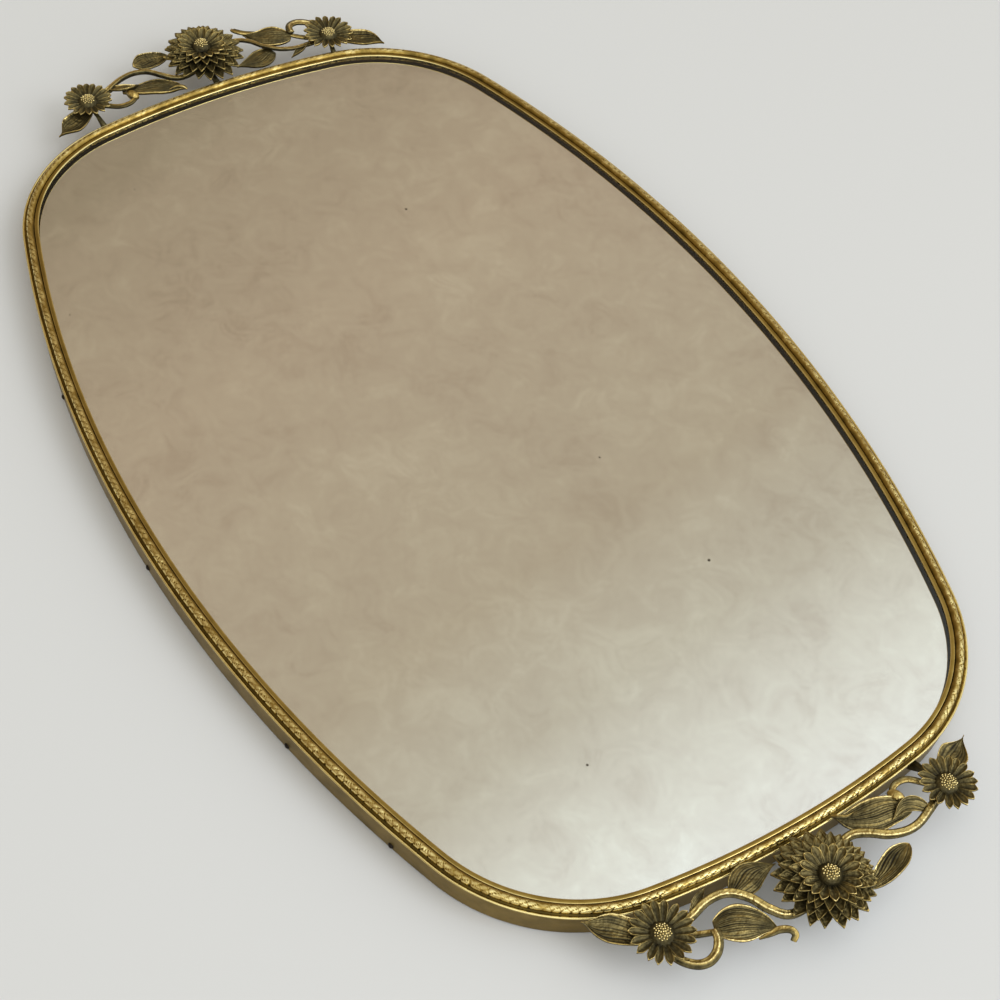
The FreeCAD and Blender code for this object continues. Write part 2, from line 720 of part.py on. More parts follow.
kinds = ("PartDesign::Body", "Part::Feature")
parts = [thing for thing in doc.Objects if thing.TypeId in kinds and thing != boardBlank]
for thing in doc.Objects:
    if "Invalid" in thing.State or "Error" in thing.State:
        raise RuntimeError(f"{thing.Name} did not build")
for part in parts:
    if part.Shape.isNull() or not part.Shape.isValid():
        raise RuntimeError(f"{part.Label} has no sound shape")
os.makedirs("parts", exist_ok=True)
for part in parts:
    part.Shape.exportStep(f"parts/{part.Label}.step")
    box = part.Shape.BoundBox
    print(
        f"{part.Label}: {len(part.Shape.Solids)} solids, {part.Shape.Volume:.1f} mm3,"
        f" Z {box.ZMin:.2f} to {box.ZMax:.2f}"
    )
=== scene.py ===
import math

import bpy
from mathutils import Matrix, Vector


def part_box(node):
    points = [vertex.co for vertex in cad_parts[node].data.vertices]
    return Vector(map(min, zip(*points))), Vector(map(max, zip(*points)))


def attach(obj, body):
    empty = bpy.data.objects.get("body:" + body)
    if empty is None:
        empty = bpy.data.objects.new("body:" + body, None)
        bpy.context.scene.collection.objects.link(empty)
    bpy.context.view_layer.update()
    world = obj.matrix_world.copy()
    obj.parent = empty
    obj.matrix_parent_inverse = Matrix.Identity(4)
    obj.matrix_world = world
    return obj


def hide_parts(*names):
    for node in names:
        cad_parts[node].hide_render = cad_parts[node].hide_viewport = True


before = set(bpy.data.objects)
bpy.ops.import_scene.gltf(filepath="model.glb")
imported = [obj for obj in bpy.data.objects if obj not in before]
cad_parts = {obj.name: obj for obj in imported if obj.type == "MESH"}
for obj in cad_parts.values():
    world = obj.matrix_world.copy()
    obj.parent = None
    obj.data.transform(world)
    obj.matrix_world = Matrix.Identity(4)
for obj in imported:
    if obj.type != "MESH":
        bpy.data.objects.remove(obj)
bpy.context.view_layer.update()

# An oval mirrored vanity tray: a gilt brass rim round a mirror, and a cast handle of flowers and
# leaves at each end. Points on the handles are in millimetres on the right-hand one, as (x, y,
# lift), where the lift is the height above the lip's edge. The left handle is the right one
# turned half round.

mm = 0.001
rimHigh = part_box("rim_frame")[1]

tray = {
    "lipHeight": 12.2,  # of the lip's edge above the table
    "rimWidth": 6.0,
    "endRadius": 337.4,  # the opening's eight arcs
    "sideRadius": 470.4,
    "cornerRadius": 57.6,
}
halfLength = rimHigh[0] / mm - tray["rimWidth"]
halfWidth = rimHigh[1] / mm - tray["rimWidth"]


# small tools

def toLinear(hexColour):
    channels = [int(hexColour[i:i + 2], 16) / 255 for i in (1, 3, 5)]
    linear = [c / 12.92 if c <= 0.04045 else ((c + 0.055) / 1.055) ** 2.4 for c in channels]
    return (*linear, 1.0)


def fill(node, sockets):
    # sets a node's sockets: each takes a value, an output, or a node for its first output
    for name, value in sockets.items():
        if isinstance(value, bpy.types.Node):
            value = value.outputs[0]
        if isinstance(value, bpy.types.NodeSocket):
            node.id_data.links.new(value, node.inputs[name])
        else:
            node.inputs[name].default_value = value


def addNode(tree, kind, sockets=None, stops=(), **settings):
    # a node with its settings and links; a colour ramp also has stops, as (place, hex colour)
    node = tree.nodes.new(kind)
    for name, value in settings.items():
        setattr(node, name, value)
    elements = node.color_ramp.elements if stops else []
    while len(elements) < len(stops):
        elements.new(0.5)
    for element, (place, colour) in zip(elements, stops):
        element.position = place
        element.color = toLinear(colour)
    fill(node, sockets or {})
    return node


def newObject(name, data):
    piece = bpy.data.objects.new(name, data)
    bpy.context.scene.collection.objects.link(piece)
    return piece


def addLayer(mesh, name, values):
    # one number for each point, from 0, deep and dark, to 1, rubbed bright; some of the values are
    # painted highlight and painted shade rather than wear
    mesh.attributes.new(name, "FLOAT", "POINT").data.foreach_set("value", values)


def meshObject(name, points, faces, wear=None, edges=()):
    mesh = bpy.data.meshes.new(name)
    mesh.from_pydata([Vector(p) * mm for p in points], list(edges), faces)
    if wear:
        addLayer(mesh, "wear", wear)
    mesh.shade_smooth()
    return newObject(name, mesh)


def outlineObject(name, points, wear=None, closed=True, layers=None):
    # a line of points, which a node tree takes as a path or a section
    count = len(points)
    edges = [(i, (i + 1) % count) for i in range(count if closed else count - 1)]
    piece = meshObject(name, points, [], wear, edges)
    for label, values in (layers or {}).items():
        addLayer(piece.data, label, values)
    return piece


def geometryTree(name, inputs):
    # a node tree with named inputs, and what its input node gives for each of them
    tree = bpy.data.node_groups.new(name, "GeometryNodeTree")
    for label, kind in {"Geometry": "Geometry", **inputs, "Material": "Material"}.items():
        tree.interface.new_socket(label, in_out="INPUT", socket_type="NodeSocket" + kind)
    tree.interface.new_socket("Geometry", in_out="OUTPUT", socket_type="NodeSocketGeometry")
    start = tree.nodes.new("NodeGroupInput")
    return tree, {socket.name: socket for socket in start.outputs}


def pathAndSection(tree, given, count):
    # the host's line as a level path of evenly spaced points, and the section that follows it
    path = addNode(tree, "GeometryNodeMeshToCurve", {"Mesh": given["Geometry"]})
    even = addNode(tree, "GeometryNodeResampleCurve", {"Curve": path, "Count": count})
    level = addNode(tree, "GeometryNodeSetCurveNormal", {"Curve": even}, mode="Z_UP")
    shape = addNode(tree, "GeometryNodeObjectInfo", {"Object": given["Section"]})
    section = addNode(tree, "GeometryNodeMeshToCurve", {"Mesh": shape.outputs["Geometry"]})
    return level, section


def copiesOnHost(tree, given, label, placing):
    # copies of the object that an input names, set out and joined with the host's own mesh
    shape = addNode(tree, "GeometryNodeObjectInfo", {"Object": given[label]})
    copies = addNode(tree, "GeometryNodeInstanceOnPoints",
                     {"Instance": shape.outputs["Geometry"], **placing})
    both = addNode(tree, "GeometryNodeJoinGeometry", {"Geometry": given["Geometry"]})
    fill(both, {"Geometry": copies})
    return both


def closeTree(tree, given, geometry):
    # every tree ends the same way: smooth, with its copies made real and its material set
    smooth = addNode(tree, "GeometryNodeSetShadeSmooth", {"Geometry": geometry})
    real = addNode(tree, "GeometryNodeRealizeInstances", {"Geometry": smooth})
    finished = addNode(tree, "GeometryNodeSetMaterial",
                       {"Geometry": real, "Material": given["Material"]})
    addNode(tree, "NodeGroupOutput", {"Geometry": finished})
    return tree


def grow(name, host, tree, values):
    # runs a tree on a host object and keeps the result as a plain mesh of its own
    modifier = host.modifiers.new(tree.name, "NODES")
    modifier.node_group = tree
    sockets = {item.name: item for item in tree.interface.items_tree if item.in_out == "INPUT"}
    for label, value in values.items():
        modifier[sockets[label].identifier] = value
    graph = bpy.context.evaluated_depsgraph_get()
    mesh = bpy.data.meshes.new_from_object(host.evaluated_get(graph), depsgraph=graph)
    mesh.name = name
    host.modifiers.remove(modifier)
    return newObject(name, mesh)


def discard(*pieces):
    for piece in pieces:
        bpy.data.objects.remove(piece)


def joinMeshes(name, pieces):
    # one object of several shells
    points, faces, wear = [], [], []
    for piece in pieces:
        start = len(points)
        points += [v.co / mm for v in piece.data.vertices]
        wear += [item.value for item in piece.data.attributes["wear"].data]
        faces += [[start + i for i in face.vertices] for face in piece.data.polygons]
    discard(*pieces)
    return meshObject(name, points, faces, wear)


# materials

def newMaterial(name):
    material = bpy.data.materials.new(name)
    material.use_nodes = True
    tree = material.node_tree
    tree.nodes.clear()
    shader = tree.nodes.new("ShaderNodeBsdfPrincipled")
    addNode(tree, "ShaderNodeOutputMaterial", {"Surface": shader})
    return material, tree, shader


def brassMaterial(name, finish):
    # Brass whose colour follows the wear: patina in the hollows, bare bright metal on the crests.
    # The same values also carry painted highlight and painted shade in places.
    material, tree, shader = newMaterial(name)
    place = tree.nodes.new("ShaderNodeTexCoord").outputs["Object"]
    cloud, grain, dent = [
        addNode(tree, "ShaderNodeTexNoise",
                {"Vector": place, "Scale": 1 / (finish[size] * mm), "Detail": detail})
        for size, detail in (("cloudSize", 5.0), ("grainSize", 3.0), ("dentSize", 1.0))]
    wear = addNode(tree, "ShaderNodeAttribute", attribute_name="wear").outputs["Fac"]
    uneven = addNode(tree, "ShaderNodeMath",
                     {0: cloud, 1: finish["unevenness"], 2: -0.5 * finish["unevenness"]},
                     operation="MULTIPLY_ADD")
    rubbedAndPaintedLight = addNode(tree, "ShaderNodeMath", {0: wear, 1: uneven}, operation="ADD",
                     use_clamp=True)
    covered, bare = finish["metallic"]
    metal = addNode(tree, "ShaderNodeMapRange", {
        "Value": rubbedAndPaintedLight, "From Max": finish["bareFrom"], "To Min": covered, "To Max": bare})
    dull, bright = finish["roughness"]
    rough = addNode(tree, "ShaderNodeMapRange",
                    {"Value": rubbedAndPaintedLight, "To Min": dull, "To Max": bright})
    speckled = addNode(tree, "ShaderNodeMath", {0: grain, 1: finish["speckle"], 2: rough},
                       operation="MULTIPLY_ADD")
    eased = addNode(tree, "ShaderNodeMath", {0: speckled, 1: finish["speckle"] / 2},
                    operation="SUBTRACT", use_clamp=True)
    dented = addNode(tree, "ShaderNodeBump",
                     {"Height": dent, "Distance": finish["dentHeight"] * mm})
    bump = addNode(tree, "ShaderNodeBump", {
        "Height": grain, "Strength": finish["bump"], "Distance": finish["bumpHeight"] * mm,
        "Normal": dented})
    colour = addNode(tree, "ShaderNodeValToRGB", {"Fac": rubbedAndPaintedLight}, finish["colours"])
    fill(shader, {"Base Color": colour, "Metallic": metal, "Roughness": eased, "Normal": bump})
    return material


giltFinish = {
    "colours": [(0.0, "#2a220b"), (0.3, "#695624"), (0.65, "#a98d48"), (1.0, "#efdd9a")],
    "roughness": (0.5, 0.22),  # in the hollows, and where it is rubbed
    "metallic": (0.8, 1.0),
    "bareFrom": 0.6,  # the wear from which it is bare metal
    "cloudSize": 7.0,  # mm
    "unevenness": 0.4,  # how far the clouds shift the wear
    "grainSize": 0.35,
    "speckle": 0.16,  # how far the grain shifts the roughness
    "bump": 0.2,
    "bumpHeight": 0.05,
    "dentSize": 3.0,
    "dentHeight": 0.08,
}
castFinish = {
    "colours": [(0.0, "#1e1a0c"), (0.25, "#4f472b"), (0.5, "#82744a"), (0.75, "#b99f5c"),
                (1.0, "#f2df9f")],
    "roughness": (0.6, 0.25),
    "metallic": (0.65, 1.0),
    "bareFrom": 0.6,
    "cloudSize": 3.0,
    "unevenness": 0.55,
    "grainSize": 0.45,
    "speckle": 0.16,
    "bump": 0.8,
    "bumpHeight": 0.1,
    "dentSize": 1.3,
    "dentHeight": 0.5,
}
giltBrass = brassMaterial("Gilt brass, drawn and chased", giltFinish)
castBrass = brassMaterial("Antiqued cast brass, edges rubbed bright", castFinish)


def glassMaterial():
    # Float glass: clear and very smooth, with a faint green in its depth.
    material, _, shader = newMaterial("Float glass")
    fill(shader, {"Base Color": toLinear("#fbfdfb"), "Roughness": 0.0, "IOR": 1.5,
                  "Transmission Weight": 1.0})
    return material


silvering = {
    # the colours, clouds and patches paint a reflection into the silvering: a mottled room surface
    # seen in the mirror
    "colours": [(0.36, "#e2dbd8"), (0.46, "#ebe6e4"), (0.54, "#efebe9"), (0.66, "#f8f6f5")],
    "cloudSize": 70.0,  # mm
    "reflectedPatchSize": 13.0,
    "reflectedPatchShare": 0.62,  # how far the patches outweigh the clouds
    "spotSpacing": 48.0,
    "spotRadius": 0.55,
    "unspotted": 0.62,  # the share of places without a spot
    "spotColour": "#554a3c",
}


def silverMaterial():
    # Silvering seen through the glass: a near perfect mirror, tinted warm and mottled with a
    # painted reflection of a mottled room surface, with a few small dark spots where it has lifted.
    material, tree, shader = newMaterial("Silvering, chemically deposited")
    place = tree.nodes.new("ShaderNodeTexCoord").outputs["Object"]
    # painted reflection: broad clouds and finer patches stand for a mottled room surface seen in
    # the mirror
    reflectedClouds = addNode(tree, "ShaderNodeTexNoise",
                   {"Vector": place, "Scale": 1 / (silvering["cloudSize"] * mm), "Detail": 2.0})
    reflectedPatches = addNode(tree, "ShaderNodeTexNoise", {
        "Vector": place, "Scale": 1 / (silvering["reflectedPatchSize"] * mm), "Detail": 7.0,
        "Roughness": 0.66, "Distortion": 0.6})
    both = addNode(tree, "ShaderNodeMix",
                   {"Factor": silvering["reflectedPatchShare"], "A": reflectedClouds, "B": reflectedPatches}, data_type="FLOAT")
    cells = addNode(tree, "ShaderNodeTexVoronoi",
                    {"Vector": place, "Scale": 1 / (silvering["spotSpacing"] * mm)},
                    voronoi_dimensions="2D")
    chance = addNode(tree, "ShaderNodeSeparateColor", {"Color": cells.outputs["Color"]})
    radius = addNode(tree, "ShaderNodeMapRange",
                     {"Value": chance, "From Min": silvering["unspotted"],
                      "To Max": silvering["spotRadius"] / silvering["spotSpacing"]})
    spot = addNode(tree, "ShaderNodeMath", {0: cells, 1: radius}, operation="LESS_THAN")
    colour = addNode(tree, "ShaderNodeValToRGB", {"Fac": both}, silvering["colours"])
    spotted = addNode(tree, "ShaderNodeMix",
                      {"Factor": spot, 6: colour, 7: toLinear(silvering["spotColour"])},
                      data_type="RGBA")
    fill(shader, {"Base Color": spotted.outputs[2], "Metallic": 1.0, "Roughness": 0.0})
    return material


def plainMaterial(name, colours, size, roughness, bump, metallic=0.0, stretch=(1, 1, 1)):
    # A mottled or fibrous surface: two colours mixed by a noise of the given size in mm.
    material, tree, shader = newMaterial(name)
    place = tree.nodes.new("ShaderNodeTexCoord").outputs["Object"]
    laid = addNode(tree, "ShaderNodeMapping", {"Vector": place, "Scale": stretch})
    noise = addNode(tree, "ShaderNodeTexNoise",
                    {"Vector": laid, "Scale": 1 / (size * mm), "Detail": 6.0})
    relief = addNode(tree, "ShaderNodeBump",
                     {"Height": noise, "Strength": bump, "Distance": 0.2 * mm})
    colour = addNode(tree, "ShaderNodeValToRGB", {"Fac": noise},
                     [(0.3, colours[0]), (0.7, colours[1])])
    fill(shader, {"Base Color": colour, "Roughness": roughness, "Metallic": metallic,
                  "Normal": relief})
    return material


print("materials ready")


# the oval and the moulding that follows it

endCentre = halfLength - tray["endRadius"]
sideCentre = halfWidth - tray["sideRadius"]


def cornerArc():
    # The centre of the front right corner's arc, which touches the end's arc and the side's.
    fromEnd = tray["endRadius"] - tray["cornerRadius"]
    fromSide = tray["sideRadius"] - tray["cornerRadius"]
    apart = math.hypot(endCentre, sideCentre)
    along = (fromSide ** 2 - fromEnd ** 2 + apart ** 2) / (2 * apart)
    across = math.sqrt(fromSide ** 2 - along ** 2)
    unit = Vector((endCentre, -sideCentre)) / apart
    return Vector((0, sideCentre)) + along * unit + across * Vector((unit.y, -unit.x))


corner = cornerArc()
endAngle = math.atan2(corner.y, corner.x - endCentre)
sideAngle = math.atan2(corner.y - sideCentre, corner.x)


def ovalPath(spacing):
    # Points along the lip's edge, anticlockwise, at about the given spacing: four arcs, and the
    # same four turned half round.
    half = math.pi
    arcs = [(endCentre, 0, tray["endRadius"], -endAngle, endAngle),
            (corner.x, corner.y, tray["cornerRadius"], endAngle, sideAngle),
            (0, sideCentre, tray["sideRadius"], sideAngle, half - sideAngle),
            (-corner.x, corner.y, tray["cornerRadius"], half - sideAngle, half - endAngle)]
    arcs += [(-x, -y, radius, half + first, half + last) for x, y, radius, first, last in arcs]
    points = []
    for x, y, radius, first, last in arcs:
        steps = max(2, round(radius * (last - first) / spacing))
        angles = [first + (last - first) * i / steps for i in range(steps)]
        points += [(x + radius * math.cos(angle), y + radius * math.sin(angle),
                    tray["lipHeight"]) for angle in angles]
    return points


def arcThrough(first, middle, last, count):
    # Points of the arc through three points, both ends included.
    a, b, c = Vector(first), Vector(middle), Vector(last)
    d = 2 * (a.x * (b.y - c.y) + b.x * (c.y - a.y) + c.x * (a.y - b.y))
    sa, sb, sc = a.length_squared, b.length_squared, c.length_squared
    centre = Vector(((sa * (b.y - c.y) + sb * (c.y - a.y) + sc * (a.y - b.y)) / d,
                     (sa * (c.x - b.x) + sb * (a.x - c.x) + sc * (b.x - a.x)) / d))
    start = math.atan2(a.y - centre.y, a.x - centre.x)
    stop = math.atan2(c.y - centre.y, c.x - centre.x)
    if stop > start:
        stop -= 2 * math.pi
    radius = (a - centre).length
    angles = [start + (stop - start) * i / (count - 1) for i in range(count)]
    return [(centre.x + radius * math.cos(t), centre.y + radius * math.sin(t)) for t in angles]


moulding = {
    "stations": 900,
    "beadStart": (1.75, -0.3),  # reach out from the lip's edge, and lift above it
    "beadTop": (3.075, 1.1),
    "beadEnd": (4.4, -0.7),
    "wallReach": 5.2,
    "wallInside": 4.2,
    "wallFoot": -11.6,
    "rollCentre": (5.6, -1.0),
    "rollRadius": 0.4,
}


def mouldingSection():
    # (reach, lift, wear and painted light) round the section, over the top from the lip's edge to
    # the wall's foot
    wall, inside, foot = moulding["wallReach"], moulding["wallInside"], moulding["wallFoot"]
    rollX, rollY = moulding["rollCentre"]
    # the points at the lip's nose are set nearly full bright: a painted highlight along its inner
    # edge
    section = [(0.06, -0.34, 0.3), (0.0, -0.3, 0.95), (0.0, -0.06, 1.0), (0.1, 0.04, 1.0),
               (0.35, 0.11, 0.6), (0.75, 0.15, 0.5), (1.1, 0.12, 0.5), (1.38, 0.05, 0.85),
               (1.5, -0.03, 0.8), (1.56, -0.16, 0.3), (1.64, -0.3, 0.0), (1.74, -0.34, 0.0),
               (1.9, -0.6, 0.0), (3.1, -0.7, 0.0), (4.25, -1.05, 0.0), (4.42, -0.78, 0.3),
               (4.5, -0.98, 0.2), (4.66, -1.1, 0.2), (4.85, -1.12, 0.3), (5.05, -1.0, 0.5)]
    for degrees in range(150, -61, -30):
        angle = math.radians(degrees)
        height = math.sin(angle)
        section.append((rollX + moulding["rollRadius"] * math.cos(angle),
                        rollY + moulding["rollRadius"] * height, 0.75 + 0.25 * height))
    plain = -1.95  # the lift from which the wall is plain
    section += [(wall + 0.25, -1.5, 0.1), (wall, -1.7, 0.2), (wall, plain, 0.42)]
    section += [(wall, plain + (foot + 0.5 - plain) * i / 8, 0.42) for i in range(1, 9)]
    # inside the wall and under the lip the values are kept low as painted shade
    section += [(wall, foot + 0.2, 0.4), (wall - 0.12, foot, 0.2), (inside + 0.1, foot, 0.1),
                (inside, foot + 0.1, 0.1), (inside, -0.5, 0.1), (0.3, -0.35, 0.05)]
    return section


def sweepTree():
    # a section carried along a path; the path's own "slim" and "tilt" shape it on the way
    tree, given = geometryTree("Section along a path", {"Section": "Object", "Stations": "Int"})
    level, section = pathAndSection(tree, given, given["Stations"])
    slim, tilt = [addNode(tree, "GeometryNodeInputNamedAttribute", {"Name": label},
                          data_type="FLOAT").outputs["Attribute"] for label in ("slim", "tilt")]
    tilted = addNode(tree, "GeometryNodeSetCurveTilt", {"Curve": level, "Tilt": tilt})
    scale = addNode(tree, "ShaderNodeMath", {0: 1.0, 1: slim}, operation="SUBTRACT")
    swept = addNode(tree, "GeometryNodeCurveToMesh", {
        "Curve": tilted, "Profile Curve": section, "Scale": scale, "Fill Caps": True})
    return closeTree(tree, given, swept)


chasing = {
    "pitch": 2.87,  # mm along the rim from one cut to the next
    "steps": 12,  # stations from one cut to the next
    "slant": 1.3,
    "cutWidth": 0.12,  # as a share of the pitch
    "cutDepth": 0.28,  # mm
    "cuts": ((1.0, 1.0), (-0.6, 0.4)),  # slope and weight of the deep cuts, then the light ones
    "bow": 1.5,
    "setIn": (0.34, 0.52),  # across the bead, where the cuts begin
    "crest": (0.1, 0.5),
    "handScale": 230.0,  # of the unevenness of work by hand, per metre
    # how that shifts the cuts, deepens them and dulls the facets: the mark below which the noise
    # counts as low, and what low and high give
    "wander": (0.3, -0.3, 0.3),
    "depths": (0.35, 0.3, 1.5),
    "polish": (0.35, -0.25, 0.1),
}


def chasingTree():
    # the round bead, with two families of slanting cuts that cross along its outer side
    tree, given = geometryTree("Chased bead", {
        "Section": "Object", "Tiles": "Int", "Steps": "Int", "Slant": "Float",
        "Cut Width": "Float", "Cut Depth": "Float", "Inner Reach": "Float",
        "Outer Reach": "Float"})
    count = addNode(tree, "ShaderNodeMath", {0: given["Tiles"], 1: given["Steps"]},
                    operation="MULTIPLY")
    level, section = pathAndSection(tree, given, count)
    share = tree.nodes.new("GeometryNodeSplineParameter")
    where = tree.nodes.new("GeometryNodeInputPosition")
    reach = addNode(tree, "ShaderNodeSeparateXYZ", {"Vector": where})
    breadth = addNode(tree, "ShaderNodeMapRange", {
        "Value": reach, "From Min": given["Inner Reach"], "From Max": given["Outer Reach"]})
    path, profile = [addNode(tree, "GeometryNodeStoreNamedAttribute",
                             {"Geometry": line, "Name": label, "Value": value},
                             data_type="FLOAT", domain="POINT")
                     for line, label, value in ((level, "along", share),
                                                (section, "across", breadth))]
    swept = addNode(tree, "GeometryNodeCurveToMesh", {"Curve": path, "Profile Curve": profile})
    along, across = [addNode(tree, "GeometryNodeInputNamedAttribute", {"Name": label},
                             data_type="FLOAT").outputs["Attribute"]
                     for label in ("along", "across")]
    hand = addNode(tree, "ShaderNodeTexNoise",
                   {"Vector": where, "Scale": chasing["handScale"], "Detail": 3.0})
    wander, uneven, polish = [
        addNode(tree, "ShaderNodeMapRange", {"Value": hand, "From Min": mark,
                                             "From Max": 1 - mark, "To Min": low, "To Max": high})
        for mark, low, high in (chasing["wander"], chasing["depths"], chasing["polish"])]
    tile = addNode(tree, "ShaderNodeMath", {0: along, 1: given["Tiles"]}, operation="MULTIPLY")
    struckAt = addNode(tree, "ShaderNodeMath", {0: tile, 1: wander}, operation="ADD")
    bowed = addNode(tree, "ShaderNodeMath", {0: across, 1: chasing["bow"]}, operation="POWER")
    cuts = []
    for slope, weight in chasing["cuts"]:
        slant = addNode(tree, "ShaderNodeMath", {0: given["Slant"], 1: slope},
                        operation="MULTIPLY")
        phase = addNode(tree, "ShaderNodeMath", {0: bowed, 1: slant, 2: struckAt},
                        operation="MULTIPLY_ADD")
        distance = addNode(tree, "ShaderNodeMath", {0: phase, 1: 0.5}, operation="PINGPONG")
        cuts.append(addNode(tree, "ShaderNodeMapRange", {
            "Value": distance, "From Max": given["Cut Width"], "To Min": weight, "To Max": 0.0},
            interpolation_type="SMOOTHSTEP"))
    deepest = addNode(tree, "ShaderNodeMath", {0: cuts[0], 1: cuts[1]}, operation="MAXIMUM")
    outer, crest = [
        addNode(tree, "ShaderNodeMapRange", {"Value": across, "From Min": first,
                                             "From Max": last, "To Min": least},
                interpolation_type=easing)
        for (first, last), least, easing in ((chasing["setIn"], 0.1, "SMOOTHSTEP"),
                                             (chasing["crest"], 0.6, "LINEAR"))]
    masked = addNode(tree, "ShaderNodeMath", {0: deepest, 1: outer}, operation="MULTIPLY")
    struck = addNode(tree, "ShaderNodeMath", {0: masked, 1: uneven}, operation="MULTIPLY")
    sink = addNode(tree, "ShaderNodeMath", {0: given["Cut Depth"], 1: -mm}, operation="MULTIPLY")
    depth = addNode(tree, "ShaderNodeMath", {0: struck, 1: sink}, operation="MULTIPLY")
    normal = tree.nodes.new("GeometryNodeInputNormal")
    move = addNode(tree, "ShaderNodeVectorMath", {0: normal, "Scale": depth}, operation="SCALE")
    carved = addNode(tree, "GeometryNodeSetPosition", {"Geometry": swept, "Offset": move})
    facet = addNode(tree, "ShaderNodeMath", {0: crest, 1: polish}, operation="ADD")
    bright = addNode(tree, "ShaderNodeMath", {0: facet, 1: struck}, operation="SUBTRACT",
                     use_clamp=True)
    worn = addNode(tree, "GeometryNodeStoreNamedAttribute",
                   {"Geometry": carved, "Name": "wear", "Value": bright},
                   data_type="FLOAT", domain="POINT")
    return closeTree(tree, given, worn)


sweep = sweepTree()
pathPoints = ovalPath(0.8)
pathLength = sum(math.dist(a, b) for a, b in zip(pathPoints, pathPoints[1:] + pathPoints[:1]))
lipPath = outlineObject("lip_path", pathPoints)
section = mouldingSection()
sectionLine = outlineObject("moulding_section", [(x, -y, 0) for x, y, _ in section],
                            [worn for _, _, worn in section])
rimMoulding = grow("rim_moulding", lipPath, sweep, {
    "Section": sectionLine, "Stations": moulding["stations"], "Material": giltBrass})

beadArc = arcThrough(moulding["beadStart"], moulding["beadTop"], moulding["beadEnd"], 15)
underside = [(4.3, 1.0, 0), (1.85, 0.6, 0)]  # sunk in the moulding, out of sight
beadSection = outlineObject("bead_section", [(x, -y, 0) for x, y in beadArc] + underside)
chasedBead = grow("chased_bead", lipPath, chasingTree(), {
    "Section": beadSection, "Tiles": round(pathLength / chasing["pitch"]),
    "Steps": chasing["steps"], "Slant": chasing["slant"], "Cut Width": chasing["cutWidth"],
    "Cut Depth": chasing["cutDepth"], "Inner Reach": moulding["beadStart"][0] * mm,
    "Outer Reach": moulding["beadEnd"][0] * mm, "Material": giltBrass})
discard(lipPath, sectionLine, beadSection)
print("rim done:", len(rimMoulding.data.polygons), "and", len(chasedBead.data.polygons), "faces")


# leaves and stems

def smoothLine(points, count):
    # count points on a smooth line through the given ones
    knots = [Vector(p) for p in points]
    knots = [2 * knots[0] - knots[1]] + knots + [2 * knots[-1] - knots[-2]]
    line = []
    for i in range(count):
        place = i / (count - 1) * (len(knots) - 3)
        k = min(int(place), len(knots) - 4)
        t = place - k
        a, b, c, d = knots[k:k + 4]
        line.append(0.5 * (2 * b + (c - a) * t + (2 * a - 5 * b + 4 * c - d) * t ** 2
                           + (3 * b - a - 3 * c + d) * t ** 3))
    return line


def onTray(point):
    # from (x, y, lift) to a place on the tray
    return Vector((point[0], point[1], point[2] + tray["lipHeight"]))


def shell(name, rows):
    # a closed shell from a grid of (upper point, lower point, wear)
    cells = [cell for row in rows for cell in row]
    columns, below = len(rows[0]), len(cells)
    points = [upper for upper, _, _ in cells] + [lower for _, lower, _ in cells]
    faces = []
    for i in range(len(rows) - 1):
        for j in range(columns - 1):
            a = i * columns + j
            quad = (a, a + columns, a + columns + 1, a + 1)
            faces += [quad, [below + k for k in reversed(quad)]]
    last = below - columns
    loop = [*range(columns), *range(2 * columns - 1, below, columns),
            *range(below - 2, last - 1, -1), *range(last - columns, 0, -columns)]
    faces += [(a, b, below + b, below + a) for a, b in zip(loop, loop[1:] + loop[:1])]
    dull = 0.15  # the lower side's wear
    return meshObject(name, points, faces, [worn for _, _, worn in cells] + [dull] * below)


